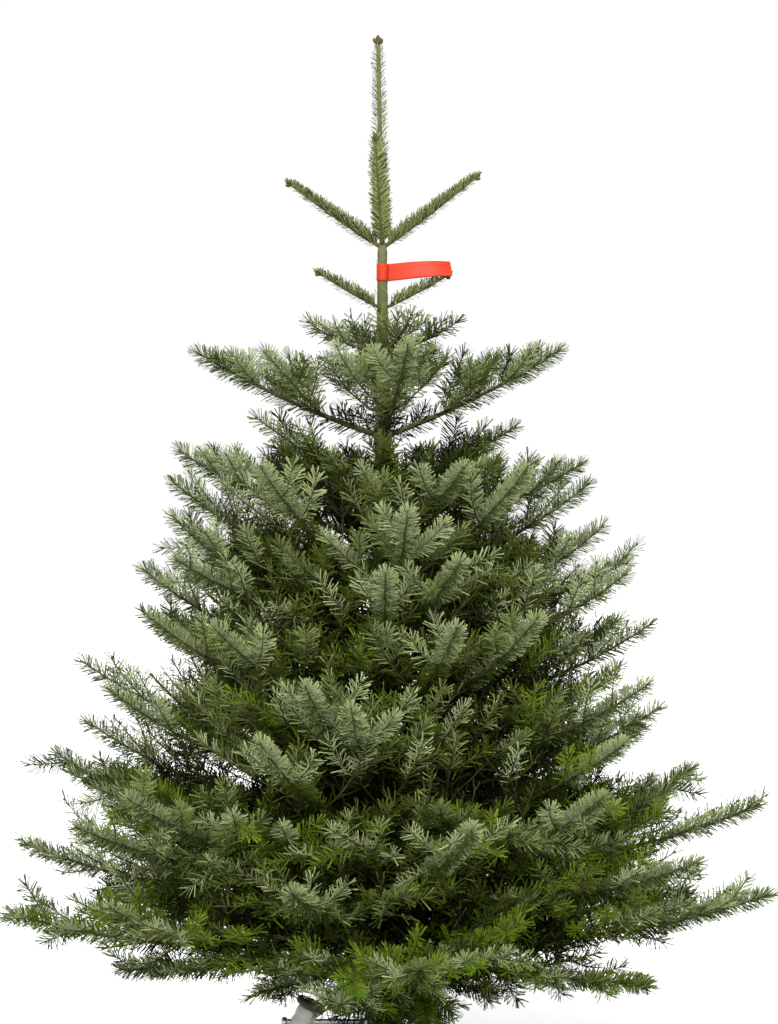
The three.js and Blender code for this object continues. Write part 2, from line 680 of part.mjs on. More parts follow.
// A band of tape looped round the trunk, its ends stuck together as a flag that leans back.
function tagSolid() {
  const STEPS = 8;
  const inner = trunkRadius(TAG_MIDDLE - TAG_HEIGHT / 2) + 3 * GAP;
  const outer = inner + TAG_THICKNESS;
  const start = Math.asin(TAG_THICKNESS / outer);
  const outline = new THREE.Shape();
  outline.absarc(0, 0, outer, start, 2 * Math.PI - start, false);
  for (let i = 1; i <= STEPS; i += 1) outline.lineTo(lerp(outer, TAG_LENGTH, i / STEPS), -TAG_THICKNESS);
  for (let i = STEPS; i > 0; i -= 1) outline.lineTo(lerp(outer, TAG_LENGTH, i / STEPS), TAG_THICKNESS);
  outline.closePath();
  outline.holes.push(new THREE.Path().absarc(0, 0, inner, 0, 2 * Math.PI, true));
  const options = { depth: TAG_HEIGHT, bevelEnabled: false, curveSegments: 9 };
  const geometry = new THREE.ExtrudeGeometry(outline, options).translate(0, 0, -TAG_HEIGHT / 2);
  const places = geometry.attributes.position;
  for (let i = 0; i < places.count; i += 1) {
    const [x, y, z] = [places.getX(i), places.getY(i), places.getZ(i)];
    const share = Math.max(0, (x - outer) / (TAG_LENGTH - outer));
    const lean = radians(TAG_TWIST * share);
    const rise = TAG_RISE * Math.sin(0.7 * Math.PI * share);
    places.setY(i, y * Math.cos(lean) + z * Math.sin(lean));
    places.setZ(i, z * Math.cos(lean) - y * Math.sin(lean) + rise);
  }
  const centre = trunkCentre(TAG_MIDDLE);
  return solidOf(geometry.translate(centre.x, centre.y, centre.z));
}

// ---------------------------------------------------------------- assembly

const FINISHES = {
  bark: { color: '#6b6549', roughness: 0.9 },
  needles: { color: '#3d4a22', roughness: 0.6 },
  young_needles: { color: '#64703f', roughness: 0.6 },
  white_plastic: { color: '#eceae4', roughness: 0.45 },
  black_rubber: { color: '#17160f', roughness: 0.7 },
  steel: { color: '#a9abad', roughness: 0.35, metalness: 1 },
  red_tape: { color: '#f3593f', roughness: 0.4 },
};

const tree = new THREE.Group();

function place(name, solid, finish) {
  const mesh = new THREE.Mesh(geometryOf(solid), new THREE.MeshStandardMaterial(FINISHES[finish]));
  mesh.name = name;
  tree.add(mesh);
  occupy(name, solid);
}

// The stand comes first, then the trunk and the tag.
const screwRooms = armAzimuths.map((azimuth) => turned(screwSolid(GAP), azimuth));
const arms = armAzimuths.map((azimuth) => turned(armSolid(), azimuth));
const moulding = Manifold.union([baseSolid(), ...arms]).subtract(Manifold.union(screwRooms));
place('stand', mainBody(moulding), 'white_plastic');
armAzimuths.forEach((azimuth, k) => {
  place(`arm_cap_${k + 1}`, turned(capSolid(), azimuth), 'black_rubber');
  place(`clamp_screw_${k + 1}`, turned(screwSolid(0), azimuth), 'steel');
});
place('height_tag', tagSolid(), 'red_tape');

// Every fan's spine stands before any side shoot is grown, so that no spine is in another's way.
const fans = [];
WHORLS.forEach((whorl, whorlIndex) => {
  for (let k = 0; k < whorl.count; k += 1) {
    const bough = boughOf(whorl, whorlIndex, k);
    const fan = {
      name: `${whorl.name}_${k + 1}`,
      bough,
      start: 0,
      room: trunkRoom,
      finish: whorlIndex < FIRST_FAN ? 'young_needles' : 'needles',
      dense: whorlIndex >= FIRST_DENSE,
      storey: WHORLS[Math.max(0, whorlIndex - 1)].height - whorl.height,
    };
    if (whorlIndex === WHORLS.length - 1) {
      place(`lowest_bough_${k + 1}`, mainBody(limbSolid(bough, 0).subtract(trunkRoom)), 'bark');
      fan.start = LIMB_SHARE - 0.01;
      fan.room = trunkRoom.add(limbSolid(bough, GAP));
    }
    const spine = whorl.years === 1 ? brushSolid(bough) : fanSpine(bough, fan.dense ? CORE_SHARE - 0.1 : 0);
    fan.parts = [spine.subtract(fan.room)];
    occupy(fan.name, fan.parts[0]);
    fans.push(fan);
  }
});
place('leader_needles', leaderNeedles(), 'young_needles');

// A dense mass gets its core, made thinner until it has room.
for (const fan of fans.filter(({ dense }) => dense)) {
  const core = (trim) => coreSolid(fan.bough, fan.start, CORE_ABOVE * fan.storey * trim,
    CORE_BELOW * fan.storey * trim).subtract(fan.room);
  const trim = CORE_TRIMS.find((share) => isFree(core(share), fan.name));
  fan.parts.push(core(trim));
  occupy(fan.name, fan.parts.at(-1));
}

// Each side shoot is tried at its full length, then shorter, and left out if it has no room.
for (const fan of fans) {
  for (const shoot of sideShoots(fan.bough)) {
    const share = shoot.start.distanceTo(fan.bough.root) / fan.bough.length;
    const trim = share > fan.start && TRIMS.find((part) => isFree(sideBlade(shoot, part, ROOM), fan.name));
    if (trim) {
      fan.parts.push(sideBlade(shoot, trim, 1));
      occupy(fan.name, fan.parts.at(-1));
    }
  }
  place(fan.name, mainBody(Manifold.union(fan.parts).subtract(fan.room)), fan.finish);
}
place('trunk', trunkSolid(0), 'bark');

export default tree;
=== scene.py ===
"""A cut fir about 1.9 m tall in a plain three-armed stand, grown shoot by shoot, in a pale studio.

Places are in the part's own frame: +Z up, -Y the front, the origin on the floor under the trunk.
Growth is worked out in millimetres, by the same rule and numbers as the solids, and turned into
metres where a mesh is made.
"""
import logging
import math
from dataclasses import dataclass
from enum import Enum

import bpy
import numpy as np
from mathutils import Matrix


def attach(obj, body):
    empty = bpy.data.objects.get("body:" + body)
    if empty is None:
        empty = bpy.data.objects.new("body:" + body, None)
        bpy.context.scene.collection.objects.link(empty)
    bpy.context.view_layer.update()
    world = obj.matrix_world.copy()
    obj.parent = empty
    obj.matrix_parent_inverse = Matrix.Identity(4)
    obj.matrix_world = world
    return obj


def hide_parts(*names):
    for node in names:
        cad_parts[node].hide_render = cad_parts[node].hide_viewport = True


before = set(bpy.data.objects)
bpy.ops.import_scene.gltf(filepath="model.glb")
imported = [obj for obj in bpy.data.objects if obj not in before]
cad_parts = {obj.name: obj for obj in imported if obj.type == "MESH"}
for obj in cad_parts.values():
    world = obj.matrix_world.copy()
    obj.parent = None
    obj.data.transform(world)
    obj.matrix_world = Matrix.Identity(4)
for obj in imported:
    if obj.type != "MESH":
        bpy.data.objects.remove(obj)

LOG = logging.getLogger("fir")
BODY = "root"
MM = 0.001
UP = np.array([0.0, 0.0, 1.0])
FRONT = np.array([0.0, -1.0, 0.0])
STATIONS = 13  # points along every shoot's axis
Material = bpy.types.Material
NodeTree = bpy.types.NodeTree
Node = bpy.types.Node
Piece = bpy.types.Object
Array = np.ndarray
Pair = tuple[float, float]
Mesh = tuple[Array, list[Array]]  # vertices, and faces as arrays of corner numbers


class Habit(Enum):
    """How needles stand on a shoot."""

    COMBED = "combed to both sides, with shorter ones over the top"
    ROUND = "on all sides, as on the leading shoot of a bough"
    BRUSH = "all round but the underside, and swept up, as on an upper shoot"
    LEADER = "thin and even on all sides, as on the tree's leader"
    APPRESSED = "few, thin and close to the stem, as left on the trunk between the upper whorls"

    @property
    def upper(self) -> bool:
        """Tells whether it belongs to the lone shoots at the tree's top and to the stem."""
        return self not in (Habit.COMBED, Habit.ROUND)


@dataclass(frozen=True)
class Rank:
    """One rank of a habit's needles: its share of them, where they root, point and how large they are."""

    share: float
    # Where they root, in degrees from the shoot's upper side, and the spread of that.
    root: Pair
    kept: float  # how much of that turn their direction keeps; the rest of it is swept up
    lean: Pair  # their angle to the shoot, and its spread
    size: float  # their length, as a multiple of the usual one
    width: float  # their width, as a multiple of the usual one
    twist: float  # the spread of their own turn
    inward: float = 0.0  # how far their upper face turns from the shoot's upper side towards the wood


RANKS = {
    Habit.COMBED: (
        Rank(0.37, (30, 24), 1.0, (52, 5), 0.93, 0.92, 44),
        Rank(0.44, (90, 17), 0.96, (59, 4), 1.0, 0.97, 42),
        Rank(0.19, (143, 20), 0.95, (54, 6), 0.84, 0.95, 44),
    ),
    Habit.ROUND: (
        Rank(0.38, (28, 24), 1.0, (58, 6), 0.95, 0.92, 46),
        Rank(0.34, (90, 20), 0.98, (60, 5), 1.0, 0.97, 42),
        Rank(0.28, (150, 22), 0.97, (56, 6), 0.9, 0.95, 46),
    ),
    Habit.BRUSH: (
        Rank(0.88, (84, 38), 0.52, (56, 8), 0.87, 0.8, 58, 0.42),
        Rank(0.12, (150, 20), 1.0, (48, 8), 0.46, 0.4, 34),
    ),
    Habit.LEADER: (Rank(1.0, (90, 60), 1.0, (47, 9), 0.72, 0.52, 40, 0.9),),
    Habit.APPRESSED: (Rank(1.0, (90, 60), 1.0, (24, 8), 0.55, 0.5, 34, 0.9),),
}
CROWDING = {Habit.COMBED: 1.0, Habit.ROUND: 1.0, Habit.BRUSH: 2.1, Habit.LEADER: 1.9, Habit.APPRESSED: 0.3}


@dataclass(frozen=True)
class Curve:
    """A number that follows straight lines between given places, and stays as it is beyond them."""

    places: tuple[float, ...]
    values: tuple[float, ...]

    def __call__(self, place: Array | float) -> Array:
        """Reads the number at a place, or at many."""
        return np.interp(place, self.places, self.values)


def jitter(a: float, b: float) -> float:
    """Gives a repeatable number from -1 to 1 for a pair of whole numbers, from a large sine's fraction."""
    wave = math.sin(a * 12.9898 + b * 78.233) * 43758.5453
    return 2 * (wave - math.floor(wave)) - 1


def unit(vectors: Array) -> Array:
    """Scales vectors, along the last axis, to length one."""
    return vectors / np.maximum(np.linalg.norm(vectors, axis=-1, keepdims=True), 1e-9)


def square_to(vectors: Array, axes: Array) -> Array:
    """Takes from vectors what lies along unit axes, and scales the rest to length one."""
    return unit(vectors - axes * np.sum(vectors * axes, -1, keepdims=True))


def linear(colour: str) -> tuple[float, float, float, float]:
    """Turns an sRGB hex colour into linear red, green, blue and a full alpha."""
    parts = [int(colour[i : i + 2], 16) / 255 for i in (1, 3, 5)]
    red, green, blue = [p / 12.92 if p <= 0.04045 else ((p + 0.055) / 1.055) ** 2.4 for p in parts]
    return red, green, blue, 1.0


def smooth_noise(rows: Array, columns: Array, around: int, seed: int) -> Array:
    """Draws soft noise that closes on itself round a stem.

    A lattice of seeded random numbers, around wide, is read between its points with a smooth step.

    Args:
        rows: lattice coordinate along the stem, any shape.
        columns: lattice coordinate round it, the same shape.
        around: lattice points round the stem, after which it repeats.
        seed: which noise this is.

    Returns:
        Numbers from -1 to 1 in the shape of rows.
    """
    tall = int(rows.max()) + 3
    lattice = np.random.default_rng(seed).uniform(-1, 1, (tall, around))
    low_row = np.floor(rows).astype(int)
    low_column = np.floor(columns).astype(int)
    up = rows - low_row
    over = columns - low_column
    up = up * up * (3 - 2 * up)
    over = over * over * (3 - 2 * over)
    left = low_column % around
    right = (low_column + 1) % around
    below = lattice[low_row, left] * (1 - over) + lattice[low_row, right] * over
    above = lattice[low_row + 1, left] * (1 - over) + lattice[low_row + 1, right] * over
    return below * (1 - up) + above * up


def make_object(
    name: str,
    vertices: Array,
    faces: list[Array],
    materials: list[Material],
    picks: Array | None = None,
    smooth: bool = True,
) -> Piece:
    """Puts whole arrays into a mesh that rides on the tree.

    Args:
        name: the piece's name.
        vertices: corners, n by 3, in millimetres.
        faces: arrays of corner numbers, each m by the number of corners of its faces.
        materials: the piece's material slots.
        picks: the slot of each face, in the order of faces.
        smooth: whether the surface is shaded smooth.

    Returns:
        The object, linked, at the origin.
    """
    mesh = bpy.data.meshes.new(name)
    corners = np.concatenate([f.reshape(-1) for f in faces]).astype(np.int32)
    sizes = np.concatenate([np.full(len(f), f.shape[1], np.int32) for f in faces])
    starts = np.concatenate([[0], np.cumsum(sizes)[:-1]]).astype(np.int32)
    mesh.vertices.add(len(vertices))
    mesh.vertices.foreach_set("co", (vertices * MM).astype(np.float32).reshape(-1))
    mesh.loops.add(len(corners))
    mesh.loops.foreach_set("vertex_index", corners)
    mesh.polygons.add(len(sizes))
    mesh.polygons.foreach_set("loop_start", starts)
    mesh.polygons.foreach_set("loop_total", sizes)
    for material in materials:
        mesh.materials.append(material)
    if picks is not None:
        mesh.polygons.foreach_set("material_index", picks.astype(np.int32))
    mesh.polygons.foreach_set("use_smooth", np.full(len(sizes), smooth))
    mesh.update(calc_edges=True)
    mesh.validate()
    piece = bpy.data.objects.new(name, mesh)
    bpy.context.scene.collection.objects.link(piece)
    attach(piece, BODY)
    return piece


def ring_faces(rings: int, sides: int) -> list[Array]:
    """Gives the faces of a tube of rings: the four-sided ones between them, its foot and its tip."""
    k = np.arange(sides)
    a = np.arange(rings - 1)[:, None] * sides + k
    b = np.arange(rings - 1)[:, None] * sides + (k + 1) % sides
    quads = np.stack([a, b, b + sides, a + sides], -1).reshape(-1, 4)
    return [quads, k[None, ::-1], (rings - 1) * sides + k[None]]


def tube(points: Array, normals: Array, radii: Array, sides: int) -> Mesh:
    """Skins many axes at once, each a closed tube of rings.

    A ring's corner is its centre plus the radius times the cosine and sine of its turn, along the
    ring's normal and across it.

    Args:
        points: centres, axes by stations by 3.
        normals: a direction square to each axis, in the same shape.
        radii: axes by stations, or axes by stations by sides.
        sides: corners of a ring.

    Returns:
        The vertices and the faces of every tube.
    """
    count, stations = points.shape[:2]
    ahead = unit(np.gradient(points, axis=1))
    first = square_to(normals, ahead)
    across = np.cross(ahead, first)
    turns = np.arange(sides) * 2 * math.pi / sides
    wide = radii if radii.ndim == 3 else np.repeat(radii[:, :, None], sides, 2)
    rings = (
        points[:, :, None]
        + first[:, :, None] * (np.cos(turns) * wide)[..., None]
        + across[:, :, None] * (np.sin(turns) * wide)[..., None]
    )
    base = np.arange(count)[:, None, None] * stations * sides
    faces = [(base + f).reshape(-1, f.shape[1]) for f in ring_faces(stations, sides)]
    return rings.reshape(-1, 3), faces


def stack(parts: list[Mesh]) -> Mesh:
    """Joins several sets of vertices and faces into one."""
    vertices = []
    faces = []
    offset = 0
    for corners, sets in parts:
        vertices.append(corners)
        faces.extend(f + offset for f in sets)
        offset += len(corners)
    return np.concatenate(vertices), faces


@dataclass(frozen=True)
class Relief:
    """One layer of a bark's relief, from noise that closes round the stem."""

    pitch: float  # how long its lumps are
    around: int  # how many lumps stand round the stem
    rise: float  # how far they rise, for noise of one
    seed: int  # which noise it is
    above: float | None = None  # what is taken from the noise, where only what is left over rises

    def at(self, along: Array, turns: Array, place: int = 0) -> Array:
        """Gives the layer's rise along and round the stem, with a noise of its own for each place."""
        noise = smooth_noise(along / self.pitch, turns * self.around, self.around, self.seed + place)
        return self.rise * (noise if self.above is None else np.maximum(0, noise - self.above))


# ------------------------------------------------------------------ finishes


def add(
    tree: NodeTree,
    kind: str,
    inputs: dict | None = None,
    stops: tuple[tuple[float, str], ...] = (),
    **settings,
) -> Node:
    """Adds a node with its settings, and sets or links its inputs.

    Args:
        tree: the node tree.
        kind: the node's type name.
        inputs: for each input's name or number, a value or another node's output.
        stops: for a colour ramp, its places from 0 to 1, each with an sRGB hex colour.
        settings: the node's own properties.

    Returns:
        The new node.
    """
    node = tree.nodes.new(kind)
    for key, value in settings.items():
        setattr(node, key, value)
    for key, value in (inputs or {}).items():
        if isinstance(value, bpy.types.NodeSocket):
            tree.links.new(value, node.inputs[key])
        else:
            node.inputs[key].default_value = value
    if stops:
        elements = node.color_ramp.elements
        elements.remove(elements[-1])
        elements[0].position = stops[0][0]
        elements[0].color = linear(stops[0][1])
        for place, colour in stops[1:]:
            elements.new(place).color = linear(colour)
    return node


def start_material(name: str, settings: dict) -> tuple[Material, NodeTree, Node]:
    """Makes a material of a name with only its shader, set to its constants, and its output."""
    material = bpy.data.materials.new(name)
    material.use_nodes = True
    tree = material.node_tree
    tree.nodes.clear()
    shader = add(tree, "ShaderNodeBsdfPrincipled", settings)
    add(tree, "ShaderNodeOutputMaterial", {"Surface": shader.outputs["BSDF"]})
    return material, tree, shader


@dataclass(frozen=True)
class NeedleTint:
    """A fir needle: green and a little glossy above, paler and duller below, where its wax is."""

    name: str
    above: str
    below: str

    def materials(self) -> list[Material]:
        """Makes the material of the needle's upper side and that of its underside."""
        made = []
        for side, colour, roughness in (("above", self.above, 0.45), ("below", self.below, 0.6)):
            settings = {"Roughness": roughness, "IOR": 1.45, "Specular IOR Level": 0.06}
            settings["Base Color"] = linear(colour)
            made.append(start_material(f"fir_needle_{self.name}_{side}", settings)[0])
        return made


@dataclass(frozen=True)
class BarkFinish:
    """Young fir bark: olive at the top, darker below, with mottles and fine wrinkles."""

    name: str
    stops: tuple[tuple[float, str], ...]  # its colours from the foot, at 0, to the top of the tree, at 1
    speck: str  # the colour of its mottles
    top: float = 1920  # the top of the tree, in millimetres

    def material(self) -> Material:
        """Colours the bark by height, mottles it in 12 mm patches and raises 2 mm wrinkles."""
        settings = {"Roughness": 0.8, "Specular IOR Level": 0.15}
        material, tree, shader = start_material(self.name, settings)
        place = add(tree, "ShaderNodeTexCoord").outputs["Object"]
        height = add(tree, "ShaderNodeSeparateXYZ", {0: place}).outputs["Z"]
        share = add(tree, "ShaderNodeMapRange", {"Value": height, "From Max": self.top * MM})
        ramp = add(tree, "ShaderNodeValToRGB", {"Fac": share.outputs["Result"]}, self.stops)
        mottle = add(tree, "ShaderNodeTexNoise", {"Vector": place, "Scale": 1 / 0.012, "Detail": 4.0})
        strength = add(
            tree,
            "ShaderNodeMapRange",
            {"Value": mottle.outputs["Fac"], "From Min": 0.45, "From Max": 0.75, "To Max": 0.6},
        )
        # A colour mix has its factor at input 0, its colours at 6 and 7, and its result at output 2.
        inputs = {0: strength.outputs["Result"], 6: ramp.outputs["Color"], 7: linear(self.speck)}
        colour = add(tree, "ShaderNodeMix", inputs, data_type="RGBA")
        tree.links.new(colour.outputs[2], shader.inputs["Base Color"])
        wrinkles = add(tree, "ShaderNodeTexNoise", {"Vector": place, "Scale": 1 / 0.002, "Detail": 3.0})
        raised = {"Height": wrinkles.outputs["Fac"], "Strength": 0.5, "Distance": 0.0006}
        bump = add(tree, "ShaderNodeBump", raised)
        tree.links.new(bump.outputs["Normal"], shader.inputs["Normal"])
        return material


@dataclass(frozen=True)
class CloudedFinish:
    """A surface whose colour drifts between two shades, with a relief."""

    name: str
    colour: str
    shade: str
    roughness: float
    relief: float
    specular: float = 0.5
    # Where in the noise, from 0 to 1, the shade ends and the colour begins.
    spread: Pair = (0.3, 0.7)
    cloud: Pair = (0.06, 2.0)  # the size of the colour's clouds, in metres, and their detail
    grain: Pair = (0.0015, 1.0)  # the size of the relief's lumps, in metres, and their detail
    depth: float = 0.0003  # how deep the relief is, in metres

    def material(self) -> Material:
        """Colours the surface by one noise and raises another on it."""
        settings = {"Roughness": self.roughness, "Specular IOR Level": self.specular}
        material, tree, shader = start_material(self.name, settings)
        place = add(tree, "ShaderNodeTexCoord").outputs["Object"]
        clouds, lumps = [
            add(tree, "ShaderNodeTexNoise", {"Vector": place, "Scale": 1 / size, "Detail": fine}).outputs[0]
            for size, fine in (self.cloud, self.grain)
        ]
        stops = ((self.spread[0], self.shade), (self.spread[1], self.colour))
        ramp = add(tree, "ShaderNodeValToRGB", {"Fac": clouds}, stops)
        tree.links.new(ramp.outputs["Color"], shader.inputs["Base Color"])
        raised = {"Height": lumps, "Strength": self.relief, "Distance": self.depth}
        bump = add(tree, "ShaderNodeBump", raised)
        tree.links.new(bump.outputs["Normal"], shader.inputs["Normal"])
        return material


@dataclass(frozen=True)
class MouldedFinish(CloudedFinish):
    """Injection-moulded plastic or rubber: an even colour, the mould's fine grain and a soft shine."""


@dataclass(frozen=True)
class TapeFinish(CloudedFinish):
    """Polythene marking tape: a bright red-orange film with soft creases 30 mm across, darker in their
    hollows as painted shade.
    """

    roughness: float = 0.5
    relief: float = 0.3
    specular: float = 0.2
    spread: Pair = (0.35, 0.65)
    # Colour and relief read the same noise, so the darker colour lies in the creases' hollows: painted
    # shade.
    cloud: Pair = (0.03, 1.0)
    grain: Pair = (0.03, 1.0)
    depth: float = 0.002


@dataclass(frozen=True)
class SteelFinish:
    """Zinc-plated steel, turned: a bright grey metal whose shine varies at the pitch of its turning."""

    name: str
    colour: str

    def material(self) -> Material:
        """Varies the roughness in 3 mm patches."""
        settings = {"Base Color": linear(self.colour), "Metallic": 1.0}
        material, tree, shader = start_material(self.name, settings)
        place = add(tree, "ShaderNodeTexCoord").outputs["Object"]
        streak = add(tree, "ShaderNodeTexNoise", {"Vector": place, "Scale": 1 / 0.003, "Detail": 2.0})
        shine = {"Value": streak.outputs["Fac"], "To Min": 0.25, "To Max": 0.45}
        rough = add(tree, "ShaderNodeMapRange", shine)
        tree.links.new(rough.outputs["Result"], shader.inputs["Roughness"])
        return material


# Needle tints from dark to pale; the rule deals the darker ones to the crown's inside and foot as painted
# shade.
TINTS = (
    NeedleTint("shaded", "#0b1102", "#1b2406"),
    NeedleTint("deep", "#121a03", "#303b0f"),
    NeedleTint("middle", "#1c2806", "#4b581d"),
    NeedleTint("sage", "#27350e", "#65713f"),
    NeedleTint("silver", "#334319", "#838e62"),
    NeedleTint("fresh", "#466108", "#5c6d1e"),
    NeedleTint("young", "#27300c", "#7a8050"),
)
FRESH = 5  # places among the tints; those before it run from dark to pale
YOUNG = 6


# ------------------------------------------------------------------ growth


@dataclass(frozen=True)
class Whorl:
    """One year's ring of boughs on the trunk."""

    name: str
    height: float  # where it leaves the trunk
    count: int
    first: float  # the azimuth of the first one, in degrees
    length: float
    base: float  # their rise at the trunk, in degrees
    tip: float  # their rise at the tip
    years: int

    @property
    def flat(self) -> bool:
        """Tells whether its boughs lie flat, as the lower ones do."""
        return self.tip < 32

    @property
    def inner(self) -> bool:
        """Tells whether it is one of those that fill the crown behind the others."""
        return self.name.startswith("inner")


WHORLS = (
    Whorl("top_shoot", 1542, 4, -5, 210, 32, 37, 1),
    Whorl("upper_shoot", 1432, 2, 4, 128, 24, 30, 1),
    Whorl("collar_fan", 1350, 4, 24, 160, 12, 34, 2),
    Whorl("second_fan", 1202, 4, 3, 366, 20, 33, 3),
    Whorl("shoulder_fan", 1096, 2, 14, 270, 24, 34, 2),
    Whorl("third_fan", 1016, 4, 17, 392, 10, 32, 3),
    Whorl("fourth_fan", 854, 5, -18, 460, 8, 42, 4),
    Whorl("fifth_fan", 707, 5, 18, 482, 5, 40, 4),
    Whorl("sixth_fan", 566, 5, -18, 562, 2, 36, 4),
    Whorl("seventh_fan", 437, 5, 18, 655, -2, 31, 5),
    Whorl("lowest_fan", 318, 5, -14, 705, -11, 18, 5),
)
TOP_WHORLS = ("top_shoot", "upper_shoot")
# Boughs between the whorls, which fill the crown where the solids' fans leave room.
INNER_WHORLS = (
    Whorl("inner_upper", 1325, 3, 268, 120, 50, 64, 1),
    Whorl("inner_upper", 1062, 4, 62, 270, 12, 32, 3),
    Whorl("inner_upper", 1030, 3, 266, 290, 24, 52, 3),
    Whorl("inner_upper", 940, 5, 18, 440, 12, 40, 3),
    Whorl("inner_upper", 852, 5, -6, 460, 6, 30, 3),
    Whorl("inner_middle", 780, 5, -18, 480, 6, 38, 4),
    Whorl("inner_middle", 690, 5, 0, 525, 6, 34, 4),
    Whorl("inner_middle", 600, 5, 36, 560, 4, 34, 4),
    Whorl("inner_lower", 440, 5, -2, 670, -6, 24, 4),
    Whorl("inner_lower", 380, 5, 36, 625, -4, 22, 4),
    Whorl("inner_lower", 505, 5, -40, 590, 0, 32, 4),
    Whorl("inner_lowest", 296, 5, -22, 490, -12, 4, 4),
    *(Whorl("inner_core", height, 5, 0.9 * height, 230, 6, 34, 2) for height in range(460, 1120, 80)),
    Whorl("inner_foot", 420, 6, 30, 330, -8, 26, 2),
    Whorl("inner_foot", 365, 6, 12, 420, -4, 16, 3),
    Whorl("inner_foot", 330, 6, 0, 290, -10, 8, 2),
    Whorl("inner_foot", 265, 6, 30, 240, -14, -4, 2),
    Whorl("inner_foot", 342, 1, 294, 300, -20, -70, 3),
    Whorl("inner_foot", 330, 1, 272, 290, -22, -72, 3),
    Whorl("inner_foot", 268, 1, 318, 215, -46, -38, 3),
    Whorl("inner_foot", 215, 7, 5, 105, -26, -8, 1),
    Whorl("inner_foot", 185, 6, 30, 95, -16, -4, 1),
)
INNER_ROW = 60  # the draws of the inner whorls start here
INNER_DENSITY = {"inner_foot": 0.62, "inner_core": 1.0, "inner_lowest": 0.7}
SPARSE = 0.27  # the number of needles of every other inner whorl, as a multiple of the usual one


@dataclass
class Trunk:
    """The stem: its taper, lean and bark, from the flat cut to the buds at the top."""

    height: float = 1920
    foot: float = 36.3
    bud_room: float = 10
    butt_radius: float = 32
    knee: float = 1202
    knee_radius: float = 14
    top_whorl: float = WHORLS[0].height
    top_step: Pair = (14, 16)  # how far below and above the top whorl it gets thinner
    top_radius: float = 8.2
    leader_radii: Pair = (4.29, 3.315)
    swelling: float = 0.192
    swelling_reach: float = 11
    swelling_drop: float = 3
    crown_lean: float = -5
    leader_lean: float = -8
    sides: int = 48
    rings: int = 640
    relief: tuple[Relief, ...] = (
        Relief(9, 16, 0.9, 3, 0.35),
        Relief(3.2, 24, 0.22, 5),
        Relief(45, 12, 0.45, 8),
    )
    full_relief: float = 14  # the radius from which the relief is at its full height

    def centre(self, height: Array | float) -> Array:
        """Gives the axis: it leans evenly up to the top whorl, and then more along the leader."""
        z = np.asarray(height, float)
        below = self.crown_lean * np.minimum(1, z / self.top_whorl)
        past = np.maximum(0, (z - self.top_whorl) / (self.height - self.top_whorl))
        return np.stack([below + self.leader_lean * past, np.zeros_like(z), z], -1)

    def radius(self, height: Array | float) -> Array:
        """Gives the radius: even taper to the knee, a faster one to the top whorl, then the leader's."""
        top = (self.top_whorl - self.top_step[0], self.top_whorl + self.top_step[1])
        places = [0, self.knee, *top, self.height]
        radii = [self.butt_radius, self.knee_radius, self.top_radius, *self.leader_radii]
        return np.interp(height, places, radii)

    def build(self, bark: Material) -> Piece:
        """Skins the stem with its relief.

        The radius gains a bell-shaped collar at each whorl but the pairs, and blisters of 0.6 mm,
        wrinkles of 0.2 mm and soft furrows of 0.5 mm from noise that closes round the stem.

        Args:
            bark: the bark's material.

        Returns:
            The trunk's piece.
        """
        z = np.linspace(self.foot, self.height - self.bud_room, self.rings)
        radius = self.radius(z)
        for whorl in WHORLS:
            if whorl.count > 2:
                near = np.exp(-(((z - whorl.height + self.swelling_drop) / self.swelling_reach) ** 2))
                radius = radius * (1 + self.swelling * near)
        rows, columns = np.meshgrid(z, np.arange(self.sides) / self.sides, indexing="ij")
        relief = sum(layer.at(rows, columns) for layer in self.relief)
        relief = relief * np.minimum(1, radius / self.full_relief)[:, None]
        points = self.centre(z)[None]
        normals = np.broadcast_to(FRONT, points.shape)
        vertices, faces = tube(points, normals, (radius[:, None] + relief)[None], self.sides)
        piece = make_object("trunk_bark", vertices, faces, [bark])
        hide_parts("trunk")
        return piece


@dataclass
class Bough:
    """One bough of a whorl: its arc, its slice of the crown and its seed."""

    whorl: Whorl
    row: int
    place: int
    trunk: Trunk
    steep_rise: float = 32  # how much steeper every other top shoot is, in degrees
    behind_turn: float = 14  # how far the back steep one is turned, so that it stands behind the other
    turn_spread: float = 6
    rise_spread: float = 2.5
    length_spread: float = 0.05
    least_radius: float = 2.4
    radius_share: float = 0.0135
    taper: float = 0.75

    def __post_init__(self) -> None:
        """Works out the bough's direction, rise and length from its whorl and its own draws."""
        w = self.whorl
        steep = w.name == "top_shoot" and self.place % 2 == 1
        turn = w.first + (self.behind_turn if steep and self.place == 1 else 0)
        turn = turn + 360 * self.place / w.count + self.turn_spread * jitter(self.row, self.place)
        rise = (self.steep_rise if steep else 0) + self.rise_spread * jitter(self.row + 20, self.place)
        azimuth = math.radians(turn)
        self.out = np.array([math.cos(azimuth), math.sin(azimuth), 0])
        self.side = np.array([-math.sin(azimuth), math.cos(azimuth), 0])
        self.length = w.length * (1 + self.length_spread * jitter(self.row + 40, self.place))
        self.base = math.radians(w.base + rise)
        self.tip = math.radians(w.tip + rise)
        self.root = self.trunk.centre(w.height)
        self.sector = math.pi / max(w.count, 4)
        self.seed = self.row * 10 + self.place

    def axis(self, shares: Array) -> Array:
        """Gives points on the bough's arc, whose rise goes evenly from base to tip."""
        bend = self.tip - self.base
        now = self.base + bend * shares
        outward = self.length * (np.sin(now) - math.sin(self.base)) / bend
        upward = self.length * (math.cos(self.base) - np.cos(now)) / bend
        return self.root + outward[:, None] * self.out + upward[:, None] * UP

    def wood(self, shares: Array) -> Array:
        """Gives the wood's radius, which tapers evenly from the trunk to the tip."""
        return (self.least_radius + self.radius_share * self.length) * (1 - self.taper * shares)

    def in_slice(self, place: Array, room: float) -> bool:
        """Tells whether a point is inside the bough's own slice of the crown, or so much more of it."""
        reach = place - self.root
        return abs(math.atan2(reach @ self.side, reach @ self.out)) < self.sector * room


